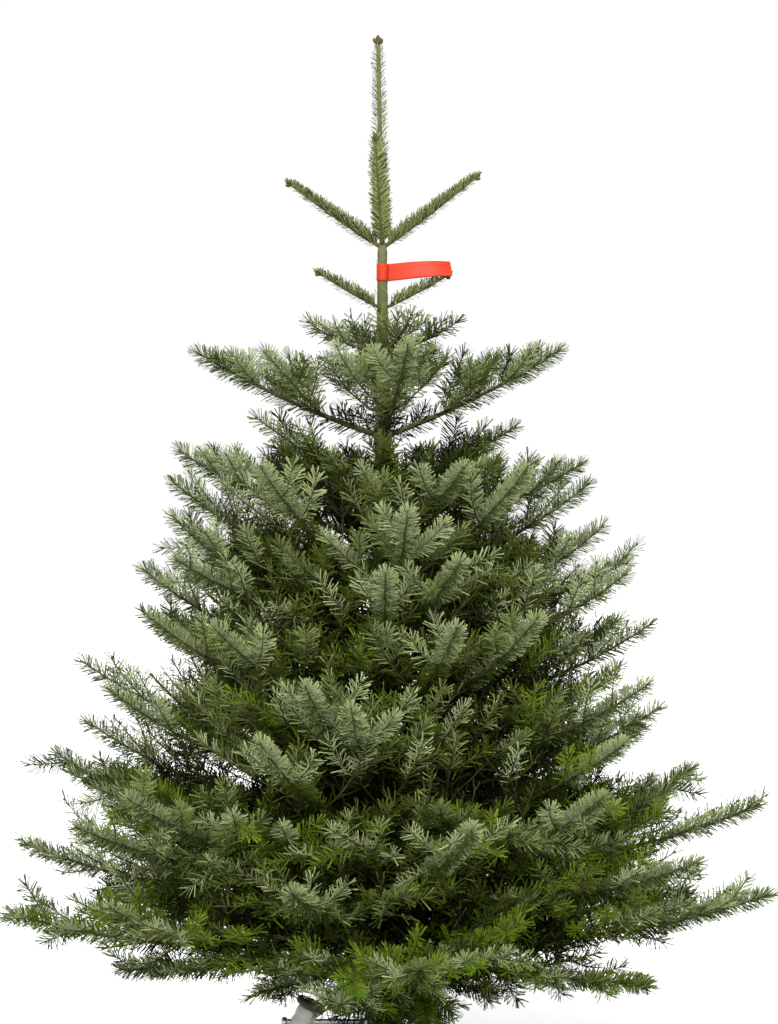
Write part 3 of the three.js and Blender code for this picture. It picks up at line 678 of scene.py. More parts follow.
@dataclass
class Limb:
    """The bare limb of a lowest bough, up to where its sprays begin."""

    bough: Bough
    share: float = 0.272
    stations: int = 60
    sides: int = 20
    bark_depth: float = 1.2
    relief: tuple[Relief, ...] = (Relief(3.5, 12, 0.25, 20), Relief(11, 6, 0.5, 40, 0.0))

    def build(self, bark: Material) -> Piece:
        """Skins the limb, with wrinkles and blisters from noise that closes round it."""
        place = self.bough.place
        shares = np.linspace(0, self.share, self.stations)
        points = self.bough.axis(shares)
        normals = unit(np.cross(unit(np.gradient(points, axis=0)), self.bough.side))
        turns = np.arange(self.sides) / self.sides
        rows, columns = np.meshgrid(shares * self.bough.length, turns, indexing="ij")
        radii = self.bough.wood(shares)[:, None] + self.bark_depth
        for layer in self.relief:
            radii = radii + layer.at(rows, columns, place)
        vertices, faces = tube(points[None], normals[None], radii[None], self.sides)
        piece = make_object(f"limb_bark_{place + 1}", vertices, faces, [bark])
        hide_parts(f"lowest_bough_{place + 1}")
        return piece


@dataclass
class Shoot:
    """One axis with its needles: its line, which way its spray faces, and its years of growth."""

    points: Array
    normals: Array
    length: float
    years: int
    order: int
    radii: Array
    habit: Habit = Habit.COMBED
    bare: float = 0.0
    seed: int = 0

    def at(self, share: float) -> tuple[Array, Array, Array]:
        """Gives the point, the direction and the normal at a share of the shoot's length."""
        spot = share * (STATIONS - 1)
        low = min(int(spot), STATIONS - 2)
        mix = spot - low
        point = self.points[low] * (1 - mix) + self.points[low + 1] * mix
        ahead = unit(self.points[low + 1] - self.points[low])
        normal = unit(self.normals[low] * (1 - mix) + self.normals[low + 1] * mix)
        return point, ahead, unit(normal - ahead * (normal @ ahead))


@dataclass(frozen=True)
class GrowthRule:
    """The rule by which a bough grows its shoots, down to the last year's.

    Where a field is a pair and nothing else is said, it is a mean and the reach of the draws round it.
    """

    spine_radius: Pair = (8.132, 6.6)  # at the trunk, and what is lost along the bough
    spine_slim: float = 0.76
    spine_bare: Pair = (46, 14)  # how much is bare on a bough of over three years, or fewer
    side_share: float = 0.74  # a side shoot's yearly growth, as a share of its parent's
    side_spread: float = 0.12
    side_angle: Pair = (52, 6)
    side_bend: float = 16
    side_roll: Pair = (12, 10)
    side_lift: Pair = (0.45, 0.3)
    flat_lift: Pair = (0.1, 0.14)  # the same on flat whorls
    hanging_lift: float = -0.1
    later_lift: float = 0.6  # how much of the lift is left on a side shoot of a side shoot
    side_offset: float = 1.8
    side_radius: Pair = (0.9, 0.0055)  # the least, and the share of the length
    side_taper: float = 0.6
    side_bare: float = 0.04
    facing_up: float = 0.3
    facing_aside: float = 0.2
    upper_share: Pair = (0.5, 0.2)
    upper_roll: Pair = (84, 24)
    upper_years: int = 2
    upper_end: float = 0.6  # the share of a flat bough beyond which no shoot stands on the upper side
    small_share: float = 0.44  # a small shoot's length, as a share of its parent's yearly growth
    flat_small: Pair = (0.78, 0.34)  # the same on flat whorls: at the foot, and what is lost
    small_spread: float = 0.25
    small_roll: Pair = (30, 30)
    small_places: tuple[float, ...] = (0.45,)
    flat_places: tuple[tuple[float, ...], ...] = ((0.2, 0.5, 0.8), (0.3, 0.65))  # on a bough, on its shoots
    hang: Curve = Curve((300, 440), (14, 44))  # how far small shoots of flat whorls hang, by height
    hang_spread: float = 16
    hang_least: float = -0.3  # the draw under which a small shoot doesn't hang
    slice_room: Pair = (1.0, 1.15)  # for shoots of a bough, and for those on them
    shrink: float = 0.9  # how much of a shoot is left at each try to keep it in its slice
    least_start: float = 0.02  # the share of the parent under which no shoot leaves it
    shortest: float = 42
    finest: int = 3
    core: float = 0.4  # the share of the bough's length inside which the finest shoots are left out

    def fan(self, bough: Bough, start: float = 0.0) -> list[Shoot]:
        """Grows a whole bough: its axis and everything on it."""
        spine = self.arc_shoot(bough, start)
        return [spine, *self.grow(bough, spine, start)]

    def arc_shoot(self, bough: Bough, start: float) -> Shoot:
        """Makes the shoot along a bough's own axis, from a share of its length on."""
        shares = np.linspace(start, 1, STATIONS)
        points = bough.axis(shares)
        ahead = unit(np.gradient(points, axis=0))
        normals = unit(np.cross(ahead, bough.side))
        years = bough.whorl.years
        thickest = self.spine_radius[0] - self.spine_radius[1] * shares
        radii = np.minimum(bough.wood(shares), thickest) * self.spine_slim
        length = bough.length * (1 - start)
        bare = self.spine_bare[0 if years > 3 else 1] / length if start == 0 else 0.0
        habit = Habit.BRUSH if bough.whorl.name in TOP_WHORLS else Habit.ROUND
        return Shoot(points, normals, length, years, 0, radii, habit, bare)

    def side_shoot(
        self,
        bough: Bough,
        parent: Shoot,
        share: float,
        hand: int,
        years: int,
        length: float,
        draws: tuple[float, float, float],
        roll: float,
    ) -> Shoot:
        """Makes one side shoot: it leaves its parent at an angle, bends forward and turns up.

        Its direction is the parent's times the cosine of the turn, plus the sideways one times its
        sine, plus a lift that grows along it.

        Args:
            bough: the bough it belongs to.
            parent: the shoot it leaves.
            share: where on the parent.
            hand: -1 or 1, the side.
            years: its years of growth.
            length: its length.
            draws: its own draws, from -1 to 1, for the angle, the lift and the roll.
            roll: degrees by which it leaves above the plane that its parent's spray lies in.

        Returns:
            The shoot.
        """
        start, ahead, normal = parent.at(share)
        flat = np.cross(normal, ahead) * hand
        around = math.radians(roll + self.side_roll[1] * draws[2])
        sideways = flat * math.cos(around) + normal * math.sin(around)
        angle = self.side_angle[0] + self.side_angle[1] * draws[0]
        usual, spread = self.flat_lift if bough.whorl.flat else self.side_lift
        lift = (usual + spread * draws[1]) * (1.0 if parent.order == 0 else self.later_lift)
        if roll < 0:
            lift = self.hanging_lift
        steps = STATIONS - 1
        share_now = (np.arange(steps) + 0.5) / steps
        turn = np.radians(angle - self.side_bend * share_now)
        directions = unit(
            np.cos(turn)[:, None] * ahead
            + np.sin(turn)[:, None] * sideways
            + (lift * share_now)[:, None] * UP
        )
        begin = start + sideways * self.side_offset
        points = begin + np.concatenate([[np.zeros(3)], np.cumsum(directions, 0)]) * length / steps
        tangents = unit(np.gradient(points, axis=0))
        facing = normal * math.cos(around) - flat * math.sin(around)
        facing = unit(facing + self.facing_up * UP + self.facing_aside * draws[0] * flat)
        normals = unit(facing - tangents * (tangents @ facing)[:, None])
        least, gain = self.side_radius
        radii = (least + gain * length) * np.linspace(1, self.side_taper, STATIONS)
        return Shoot(points, normals, length, years, parent.order + 1, radii, bare=self.side_bare)

    def grow(self, bough: Bough, parent: Shoot, start: float = 0.0) -> list[Shoot]:
        """Grows a shoot's side shoots, and theirs, by the fan's rule.

        A pair leaves the end of each year's growth but the last, with one more on the upper side. Each
        is as many years old as the parent is beyond it, and a yearly growth is a fixed share of the
        parent's. Small shoots stand between those pairs, on one side and then on the other.

        Args:
            bough: the bough the shoots belong to.
            parent: the shoot they leave.
            start: the share of the bough that the parent starts at.

        Returns:
            The side shoots, with all that they carry.
        """
        grown = []
        whole = bough.length if parent.order == 0 else parent.length
        year = whole / parent.years
        for node in range(1, parent.years):
            left = parent.years - node
            for hand in (-1, 1, 0):
                if hand or parent.order < 2:
                    grown += self.bud_break(bough, parent, start, node, hand, left, year)
        if parent.order < 2 and parent.years > 1:
            places = self.flat_places[parent.order] if bough.whorl.flat else self.small_places
            for half in range(parent.years):
                for k, place in enumerate(places):
                    hand = 1 - 2 * ((half + k) % 2)
                    grown += self.bud_break(bough, parent, start, half + place, hand, 0, year)
        return grown

    def bud_break(
        self, bough: Bough, parent: Shoot, start: float, node: float, hand: int, left: int, year: float
    ) -> list[Shoot]:
        """Grows the shoot from one bud, with all that it carries, or nothing if it would be too short.

        Args:
            bough: the bough that it belongs to.
            parent: the shoot that it leaves.
            start: the share of the bough that the parent starts at.
            node: years of growth below the bud.
            hand: -1 or 1 for a side shoot, 0 for one on the upper side.
            left: years of growth beyond the bud, or 0 for a small shoot between two whorls of buds.
            year: the parent's yearly growth.

        Returns:
            The shoots.
        """
        flat = bough.whorl.flat
        share = (node / parent.years - start) / (1 - start)
        if share <= self.least_start or (hand == 0 and flat and share > self.upper_end):
            return []
        place = int(node * 4) + (1 if hand > 0 else 0) + (40 if hand == 0 else 0) + (60 if left == 0 else 0)
        key = bough.seed + 17 * parent.order + (parent.seed % 97 if parent.order else 0)
        draw = jitter(key + 100, place)
        draws = (draw, jitter(key + 200, place), jitter(key + 300, place))
        years = max(1, left)
        length = years * year * self.side_share * (1 + self.side_spread * draw)
        roll = self.side_roll[0]
        if hand == 0:
            years = min(left, self.upper_years)
            length = years * year * self.upper_share[0] * (1 + self.upper_share[1] * draw)
            roll = self.upper_roll[0] + self.upper_roll[1] * draws[1]
        elif left == 0:
            small = self.flat_small[0] - self.flat_small[1] * share if flat else self.small_share
            length = year * small * (1 + self.small_spread * draw)
            roll = self.small_roll[0] + self.small_roll[1] * draws[1]
            if flat and draws[2] > self.hang_least:
                roll = -float(self.hang(parent.points[0, 2])) + self.hang_spread * draws[1]
        side = hand or 1
        shoot = self.side_shoot(bough, parent, share, side, years, length, draws, roll)
        room = self.slice_room[min(parent.order, 1)]
        while length > year / 2 and not bough.in_slice(shoot.points[-1], room):
            length *= self.shrink
            shoot = self.side_shoot(bough, parent, share, side, years, length, draws, roll)
        shoot.seed = int(abs(draw) * 9973) + place + 31 * parent.order
        depth = np.hypot(*shoot.points[-1, :2]) / bough.length
        finest = self.finest - (1 if bough.whorl.inner else 0)
        if length < self.shortest or shoot.order > finest or (shoot.order > 2 and depth < self.core):
            return []
        return [shoot, *self.grow(bough, shoot)]


def stem_shoot(trunk: Trunk, low: float, high: float, habit: Habit) -> Shoot:
    """Makes the stretch of the trunk between two heights into a shoot, for its own needles."""
    points = trunk.centre(np.linspace(low, high, STATIONS))
    normals = np.broadcast_to(FRONT, points.shape)
    return Shoot(points, normals, high - low, 1, 0, trunk.radius(points[:, 2]), habit)


# ------------------------------------------------------------------ needles


@dataclass(frozen=True)
class Years:
    """Every year's growth of a set of shoots, one number each in arrays of the same length."""

    owner: Array  # the shoot's place in the set
    start: Array  # the share of the shoot at which it starts
    end: Array  # the share at which it ends
    span: Array  # its length with needles
    age: Array  # how many years' growth lie beyond it
    height: Array  # the height of its end
    outside: Array  # how far out its end is: 0 at the trunk, 1 at the crown's edge
    habit: Array  # its habit's place among the habits
    upper: Array  # whether its habit is one of the tree's top
    order: Array  # how many forks lie between it and the bough


@dataclass(frozen=True)
class TintRule:
    """The rule that deals a tint to each spray, which is one year's growth of one shoot.

    Outer and long growth draws pale tints, older growth dark ones; growth near the trunk, at the foot and
    on the boughs' own axes draws dark tints as painted shade.
    """

    # Tints grow paler outwards, so that growth inside the crown is darker: painted shade.
    inner_shade_gain: float = 4.2
    outer_power: float = 1.6
    long_from: float = 75  # the length from which growth counts as long
    long_reach: float = 40
    long_gain: float = 1.1
    order_loss: float = 0.2
    age_loss: float = 1.1
    # Painted shade: the boughs' own axes are dealt darker tints, as their shaded sides show at the crown's
    # edge.
    axis_shade: float = 0.4
    height_loss: Curve = Curve((380, 600, 800), (0.0, 1.2, 0.45))
    # Painted shade: growth at the foot, under the crown, is dealt darker tints.
    foot_shade: Curve = Curve((200, 250, 310, 380), (4.6, 3.6, 0.2, 0.0))
    foot_shade_share: Curve = Curve((0.3, 0.6), (1.0, 0.3))  # how much of that painted shade counts, by how far out it is
    open_height: float = 1260  # above it the sprays stand clear, and none is dealt dark tints as painted shade
    open_least: float = 2.8
    spread: float = 0.6
    fresh_chance: Curve = Curve((240, 330, 600, 1000), (0.2, 0.4, 0.18, 0.0))
    fresh_long: Pair = (90, 0.3)  # from this length on, the chance is so many times as high
    fresh_outside: float = 0.4

    def deal(self, years: Years, rng: np.random.Generator) -> Array:
        """Gives the number of the tint of each year's growth."""
        count = len(years.owner)
        long = np.clip((years.span - self.long_from) / self.long_reach, -1, 1)
        base = self.inner_shade_gain * years.outside**self.outer_power + long * self.long_gain
        base = base - self.order_loss * years.order - self.height_loss(years.height)
        base = base - self.age_loss * years.age
        # Painted shade: darker tints at the foot near the trunk, and on the boughs' own axes.
        base = base - self.foot_shade(years.height) * self.foot_shade_share(years.outside)
        lower = base - self.axis_shade * (years.order == 0)
        base = np.where(years.height > self.open_height, np.maximum(base, self.open_least), lower)
        dealt = base + rng.normal(0, self.spread, count)
        longest, times = self.fresh_long
        chance = self.fresh_chance(years.height) * np.where(years.span < longest, 1, times)
        fresh = (rng.uniform(0, 1, count) < chance) & (years.outside > self.fresh_outside)
        usual = np.where(fresh, FRESH, np.clip(np.round(dealt), 0, FRESH - 1)).astype(int)
        return np.where(years.upper, YOUNG, usual)


@dataclass(frozen=True)
class NeedleRule:
    """The rule that sets needles on shoots: how many, how large, and how fine outside and inside.

    A fineness of more than one gives more needles, each of them narrower.
    """

    reach: float = 26
    width: float = 3.0
    per_mm: float = 0.71
    crown_edge: Curve = Curve((170, 230, 310, 700, 1200, 1600), (150, 230, 600, 430, 300, 110))
    height_fineness: Curve = Curve((250, 420, 650, 1000, 1180), (1.1, 1.0, 1.0, 1.15, 1.5))
    outer_fineness: Curve = Curve((0.4, 0.75, 1.1), (0.25, 1.05, 2.15))
    open_height: float = 1120  # above it the crown is open, and its inside shows
    open_least: float = 0.85
    older_height: float = 1150
    older: tuple[float, float, float] = (0.85, 0.95, 0.58)  # above that height, on boughs, on their shoots
    fineness_range: Pair = (0.4, 2.0)
    axis_crowding: Curve = Curve((500, 700), (2.2, 1.35))
    young_axis: Pair = (1000, 1.3)  # below this height, how many times more on a bough's end
    leading_from: Pair = (0.6, 0.15)  # how far out sparse sets fill up, and over what reach
    leading_side: float = 0.3
    hidden_from: Pair = (0.35, 0.3)  # how far out needles stop being hidden, and over what reach
    hidden_height: Curve = Curve((260, 340, 1000, 1120), (0, 1, 1, 0))
    hidden_longer: float = 0.3
    hidden_wider: float = 0.8
    upper_length: Pair = (1.12, 0.4)  # on upper shoots: at the foot, and what is lost
    tip_reach: float = 18  # how near the tip needles begin to lean forward
    tip_lean: float = 0.75
    hump: Pair = (0.6, 0.4)  # the length at both ends of a year's growth, and what its middle adds
    hump_span: Pair = (0.08, 0.8)  # where on the half sine wave it begins, and how much of it is used
    root_depth: float = 0.8
    root_width: float = 0.6
    tip_width: float = 0.78
    half_thick: float = 0.25
    tint: TintRule = TintRule()

    def years_of(self, shoots: list[Shoot]) -> Years:
        """Splits shoots into their years' growth, and finds how far out in the crown each one is."""
        owner = np.concatenate([np.full(s.years, k) for k, s in enumerate(shoots)])
        year = np.concatenate([np.arange(s.years) for s in shoots])
        count = np.array([s.years for s in shoots])[owner]
        start = np.maximum(year / count, np.array([s.bare for s in shoots])[owner])
        end = (year + 1) / count
        length = np.array([s.length for s in shoots])[owner]
        points = np.stack([s.points for s in shoots])
        place = points[owner, np.round(end * (STATIONS - 1)).astype(int)]
        height = place[:, 2]
        outside = np.clip(np.hypot(place[:, 0], place[:, 1]) / self.crown_edge(height), 0, 1.1)
        span = np.maximum(0, end - start) * length
        habit = np.array([list(Habit).index(s.habit) for s in shoots])[owner]
        upper = np.array([s.habit.upper for s in shoots])[owner]
        order = np.array([s.order for s in shoots])[owner]
        return Years(owner, start, end, span, count - 1 - year, height, outside, habit, upper, order)

    def fineness(self, years: Years) -> Array:
        """Works out the fineness of each year's growth: more outside and above, less on older wood."""
        high, axis, side = self.older
        older = np.where(years.height > self.older_height, high, np.where(years.order == 0, axis, side))
        fine = self.height_fineness(years.height) * np.where(years.age > 0, older, 1.0)
        outer = self.outer_fineness(years.outside)
        return fine * np.where(years.height > self.open_height, np.maximum(outer, self.open_least), outer)

    def counts(self, years: Years, fine: Array, density: float) -> Array:
        """Works out how many needles each year's growth has: boughs' own axes are the most crowded.

        A sparse set still has all its needles on the leading shoots at the crown's edge.

        Args:
            years: the years' growth.
            fine: their fineness.
            density: the set's number of needles, as a multiple of the usual one.

        Returns:
            A whole number for each.
        """
        axis = years.order == 0
        below, times = self.young_axis
        crowding = np.array([CROWDING[habit] for habit in Habit])[years.habit]
        crowding = crowding * np.where(axis, self.axis_crowding(years.height), 1.0)
        crowding = crowding * np.where(axis & (years.age < 2) & (years.height < below), times, 1.0)
        begin, over = self.leading_from
        leading = np.clip((years.outside - begin) / over, 0, 1) * np.where(axis, 1.0, self.leading_side)
        usual = density + (max(density, 1.0) - density) * leading
        return (years.span * self.per_mm * usual * fine * crowding).astype(int)

    def needles(self, shoots: list[Shoot], density: float, seed: int) -> tuple[Array, Array]:
        """Sets needles on shoots, each a closed flat blade of four faces, blunt at its tip.

        A needle roots on the wood in a rank round the shoot, and leaves it at its own angle. Its upper
        face turns towards the side that the spray faces. Its length follows a hump over each year's
        growth, and near the shoot's tip it leans forward, so that every year shows as a feather with a
        round end. Hidden needles are longer and wider.

        Args:
            shoots: the shoots.
            density: the set's number of needles, as a multiple of the usual one.
            seed: the seed of this set's draws.

        Returns:
            Corners, needles by 4 by 3 (two at the root, two at the tip), and each needle's tint.
        """
        rng = np.random.default_rng(seed)
        years = self.years_of(shoots)
        fine = self.fineness(years)
        counts = self.counts(years, fine, density)
        unit_of = np.repeat(np.arange(len(counts)), counts)
        order = np.arange(len(unit_of)) - np.repeat(np.cumsum(counts) - counts, counts)
        size = len(unit_of)
        within = (order + 0.5 + rng.uniform(-0.4, 0.4, size)) / counts[unit_of]
        share = years.start[unit_of] + (years.end - years.start)[unit_of] * within
        owner = years.owner[unit_of]
        here, along, facing, radius = self.frames(shoots, owner, share)
        across = np.cross(along, facing)

        rank = self.pick_ranks(years.habit[unit_of], rng)
        ranks = [r for habit in Habit for r in RANKS[habit]]
        table = np.array([[*r.root, r.kept, *r.lean, r.size, r.width, r.twist, r.inward] for r in ranks])
        mean, spread, kept, lean, lean_spread, long, wide, twist, inward = table[rank].T
        hand = np.where(order % 2 == 0, 1.0, -1.0)
        root_turn = np.clip(np.abs(mean + spread * rng.normal(0, 1, size)), 0, 180)
        ends, middle = self.hump
        begin, used = self.hump_span
        hump = ends + middle * np.sqrt(np.sin(math.pi * (begin + used * within)))
        whole = np.array([s.length for s in shoots])[owner]
        to_tip = np.clip(1 - (1 - share) * whole / self.tip_reach, 0, 1)
        tilt = (lean + lean_spread * rng.normal(0, 1, size)) * (1 - self.tip_lean * to_tip**2)
        tilt = np.radians(tilt)[:, None]
        radial = self.round_shoot(root_turn, hand, facing, across)
        outward = self.round_shoot(root_turn * kept, hand, facing, across)
        direction = unit(np.cos(tilt) * along + np.sin(tilt) * outward)
        over = square_to(facing * (1 - inward)[:, None] - radial * inward[:, None], direction)
        roll = np.radians(twist * rng.normal(0, 1, size))[:, None]
        edge = np.cross(direction, over)
        over, edge = np.cos(roll) * over + np.sin(roll) * edge, np.cos(roll) * edge - np.sin(roll) * over

        begin, reach = self.hidden_from
        hidden = (1 - np.clip((years.outside - begin) / reach, 0, 1)) * self.hidden_height(years.height)
        foot, lost = self.upper_length
        longer = (1 + self.hidden_longer * hidden)[unit_of]
        longer = longer * np.where(years.upper[unit_of], foot - lost * share, 1.0)
        length = (self.reach * longer * hump * long * rng.uniform(0.86, 1.1, size))[:, None]
        broad = self.width * np.clip(fine, *self.fineness_range) ** -0.5 * (1 + self.hidden_wider * hidden)
        width = (broad[unit_of] * wide * rng.uniform(0.9, 1.1, size))[:, None]
        root = here + radial * (radius * self.root_depth)[:, None]
        tip = root + direction * length
        half = edge * width / 2
        wide_root, wide_tip = half * self.root_width, half * self.tip_width
        raised = over * self.half_thick
        at_root = [root - wide_root + raised, root + wide_root - raised]
        at_tip = [tip + wide_tip + raised, tip - wide_tip - raised]
        return np.stack(at_root + at_tip, 1), self.tint.deal(years, rng)[unit_of]

    def frames(
        self, shoots: list[Shoot], owner: Array, share: Array
    ) -> tuple[Array, Array, Array, Array]:
        """Gives the point, direction, upper side and radius of each needle's shoot at its share."""
        points = np.stack([s.points for s in shoots])
        spot = np.clip(share, 0, 0.999) * (STATIONS - 1)
        low = spot.astype(int)
        mix = spot - low
        tangents = unit(np.gradient(points, axis=1))
        normals = np.stack([s.normals for s in shoots])
        radii = np.stack([s.radii for s in shoots])[..., None]
        here, along, facing, radius = [
            line[owner, low] * (1 - mix)[:, None] + line[owner, low + 1] * mix[:, None]
            for line in (points, tangents, normals, radii)
        ]
        along = unit(along)
        return here, along, square_to(facing, along), radius[:, 0]

    def round_shoot(self, degrees: Array, hand: Array, facing: Array, across: Array) -> Array:
        """Gives the direction at a turn round the shoot, to one hand or the other."""
        turn = np.radians(degrees)[:, None]
        return np.cos(turn) * facing + np.sin(turn) * across * hand[:, None]

    def pick_ranks(self, habit: Array, rng: np.random.Generator) -> Array:
        """Picks a rank for each needle by its share, counted through the ranks of all habits."""
        draw = rng.uniform(0, 1, len(habit))
        picked = np.zeros(len(habit), int)
        before = 0
        for k, name in enumerate(Habit):
            ends = np.cumsum([r.share for r in RANKS[name]])
            mine = habit == k
            picked[mine] = before + np.searchsorted(ends[:-1], draw[mine])
            before += len(ends)
        return picked

    def build(
        self, name: str, shoots: list[Shoot], density: float, seed: int, materials: list[Material]
    ) -> Piece:
        """Makes one piece of needles from shoots: two faces above and two below on each."""
        corners, tints = self.needles(shoots, density, seed)
        first = np.arange(len(corners))[:, None, None] * 4
        faces = (first + np.array([[0, 1, 2], [0, 2, 3], [0, 3, 1], [1, 3, 2]])).reshape(-1, 3)
        slots = (tints[:, None] * 2 + np.array([0, 0, 1, 1])).reshape(-1)
        LOG.info("%s: %d needles", name, len(corners))
        return make_object(name, corners.reshape(-1, 3), [faces], materials, slots, smooth=False)


@dataclass(frozen=True)
class BudShape:
    """An egg-shaped bud: how far along it its rings are, how wide, for a size of one, and their sides."""

    offsets: tuple[float, ...]
    widths: tuple[float, ...]
    sides: int


@dataclass(frozen=True)
class WoodRule:
    """The rule for the wood that needles stand on, and for the buds at its tips."""

    # The forks before a shoot, every how many stations its tube has a ring, and the tube's sides.
    tubes: tuple[tuple[int, int, int], ...] = ((0, 1, 8), (1, 2, 6), (2, 3, 5), (3, 4, 4))
    leader_bud: float = 5.2
    upper_bud: float = 3.8
    side_bud: Pair = (2.1, 0.5)
    ring: int = 4
    ring_turn: float = 0.6
    ring_out: float = 0.72
    ring_back: float = 0.5
    ring_aim: Pair = (0.75, 0.66)  # how much its buds point ahead, and out
    ring_size: float = 0.86
    fine_from: float = 3
    coarse: BudShape = BudShape((-0.6, 0.6, 2.2), (0.5, 1.0, 0.15), 4)
    fine: BudShape = BudShape((-0.6, 0.5, 1.5, 2.3), (0.5, 1.0, 0.8, 0.12), 6)

    def build(self, name: str, shoots: list[Shoot], bark: Material) -> Piece:
        """Makes one piece of the wood of shoots, with a bud at each tip."""
        parts = []
        for order, step, sides in self.tubes:
            members = [s for s in shoots if s.order == order]
            if members:
                points = np.stack([s.points[::step] for s in members])
                normals = np.stack([s.normals[::step] for s in members])
                radii = np.stack([s.radii[::step] for s in members])
                parts.append(tube(points, normals, radii, sides))
        parts.append(self.buds(shoots))
        vertices, faces = stack(parts)
        return make_object(name, vertices, faces, [bark])

    def buds(self, shoots: list[Shoot]) -> Mesh:
        """Puts a bud on the tip of each shoot, and a ring of smaller ones round it on upper shoots."""
        tips, aims, sizes = [], [], []
        for shoot in shoots:
            tip = shoot.points[-1]
            ahead = unit(tip - shoot.points[-2])
            size = self.side_bud[0] + self.side_bud[1] / (1 + shoot.order)
            if shoot.habit.upper:
                size = self.leader_bud if shoot.habit is Habit.LEADER else self.upper_bud
            tips.append(tip)
            aims.append(ahead)
            sizes.append(size)
            if shoot.habit.upper:
                up = shoot.normals[-1]
                across = np.cross(ahead, up)
                for turn in np.arange(self.ring) * 2 * math.pi / self.ring + self.ring_turn:
                    out = up * math.cos(turn) + across * math.sin(turn)
                    tips.append(tip + out * size * self.ring_out - ahead * size * self.ring_back)
                    aims.append(unit(ahead * self.ring_aim[0] + out * self.ring_aim[1]))
                    sizes.append(size * self.ring_size)
        tips, aims, sizes = np.stack(tips), np.stack(aims), np.array(sizes)
        normals = unit(np.cross(aims, np.array([0.31, 0.83, 0.46])))  # a direction that no bud points in
        parts = []
        for mine, shape in ((sizes < self.fine_from, self.coarse), (sizes >= self.fine_from, self.fine)):
            if mine.any():
                reach = (aims * sizes[:, None])[mine, None]
                points = tips[mine, None] + reach * np.array(shape.offsets)[:, None]
                across = np.repeat(normals[mine, None], len(shape.offsets), 1)
                parts.append(tube(points, across, np.array(shape.widths) * sizes[mine, None], shape.sides))
        return stack(parts)


@dataclass
class Foliage:
    """All that grows on the trunk, dressed and made into pieces: needles, twigs, buds and bare limbs."""

    trunk: Trunk
    twig_bark: Material
    limb_bark: Material
    tints: list[Material]  # the needles' materials, an upper and a lower one for each tint
    growth: GrowthRule = GrowthRule()
    rule: NeedleRule = NeedleRule()
    wood: WoodRule = WoodRule()
    limb_share: float = 0.26  # the share of a lowest bough at which its sprays begin
    one_piece_years: int = 4  # the years of growth up to which a whorl's needles are one piece
    # Stretches of the trunk with needles of their own.
    stems: tuple[tuple[float, float, Habit], ...] = (
        (1556, 1700, Habit.LEADER),
        (1556, 1902, Habit.LEADER),
        (1225, 1340, Habit.APPRESSED),
        (1362, 1425, Habit.APPRESSED),
        (1440, 1530, Habit.APPRESSED),
    )
    leader_tip: Pair = (1700, 1914)  # the stretch that ends where the leader's buds sit

    def build(self) -> None:
        """Builds the whorls, the inner growth, the stem's needles and buds, and the limbs."""
        pieces = [*self.build_whorls(), *self.build_inner(), self.build_stem()]
        for k in range(WHORLS[-1].count):
            Limb(Bough(WHORLS[-1], len(WHORLS) - 1, k, self.trunk)).build(self.limb_bark)
        LOG.info("needle triangles: %d", sum(len(p.data.polygons) for p in pieces))

    def build_whorls(self) -> list[Piece]:
        """Builds each whorl, those with the most growth in two sets, and gives back their needles."""
        made = []
        for row, whorl in enumerate(WHORLS):
            places = range(whorl.count)
            groups = [places] if whorl.years <= self.one_piece_years else [places[:3], places[3:]]
            start = self.limb_share if whorl is WHORLS[-1] else 0.0
            for part, group in enumerate(groups):
                boughs = [Bough(whorl, row, k, self.trunk) for k in group]
                suffix = "" if len(groups) == 1 else f"_{part + 1}"
                needles = self.build_set(whorl.name, suffix, boughs, start, 1.0, 100 + row * 10 + part)
                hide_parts(*[f"{whorl.name}_{k + 1}" for k in group])
                made.append(needles)
        return made

    def build_inner(self) -> list[Piece]:
        """Builds the growth between the whorls, and gives back its needles."""
        made = []
        for name in sorted({w.name for w in INNER_WHORLS}):
            boughs = [
                Bough(whorl, INNER_ROW + row, k, self.trunk)
                for row, whorl in enumerate(INNER_WHORLS)
                if whorl.name == name
                for k in range(whorl.count)
            ]
            density = INNER_DENSITY.get(name, SPARSE)
            needles = self.build_set(name, "", boughs, 0.0, density, 300 + len(name))
            made.append(needles)
        return made

    def build_set(
        self, name: str, suffix: str, boughs: list[Bough], start: float, density: float, seed: int
    ) -> Piece:
        """Grows boughs and makes them into a piece of needles and a piece of twigs.

        Args:
            name: the set's name.
            suffix: what the pieces' names end with.
            boughs: the boughs.
            start: the share of a bough at which its sprays begin.
            density: the number of needles, as a multiple of the usual one.
            seed: the seed of the needles' draws.

        Returns:
            The piece of needles.
        """
        shoots = [shoot for bough in boughs for shoot in self.growth.fan(bough, start)]
        needles = self.rule.build(f"{name}_needles{suffix}", shoots, density, seed, self.tints)
        twigs = self.wood.build(f"{name}_twigs{suffix}", shoots, self.twig_bark)
        LOG.info("%s: %d shoots, %.1f m", twigs.name, len(shoots), sum(s.length for s in shoots) * MM)
        return needles

    def build_stem(self) -> Piece:
        """Builds the needles on the trunk's upper stretches, which it gives back, and the leader's buds."""
        shoots = [stem_shoot(self.trunk, *stem) for stem in self.stems]
        needles = self.rule.build("stem_needles", shoots, 1.0, 77, self.tints)
        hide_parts("leader_needles")
        tip = stem_shoot(self.trunk, *self.leader_tip, Habit.LEADER)
        knob = make_object("leader_buds", *self.wood.buds([tip]), [self.twig_bark])
        return needles


# ------------------------------------------------------------------ stand and tag


def rounded(profile: list[Pair], times: int) -> Array:
    """Cuts the corners of a profile, a quarter of each side from its ends, so many times over."""
    line = np.array(profile, float)
    for _ in range(times):
        head = line[:-1] * 0.75 + line[1:] * 0.25
        tail = line[:-1] * 0.25 + line[1:] * 0.75
        middle = np.stack([head, tail], 1).reshape(-1, 2)
        line = np.concatenate([line[:1], middle, line[-1:]])
    return line


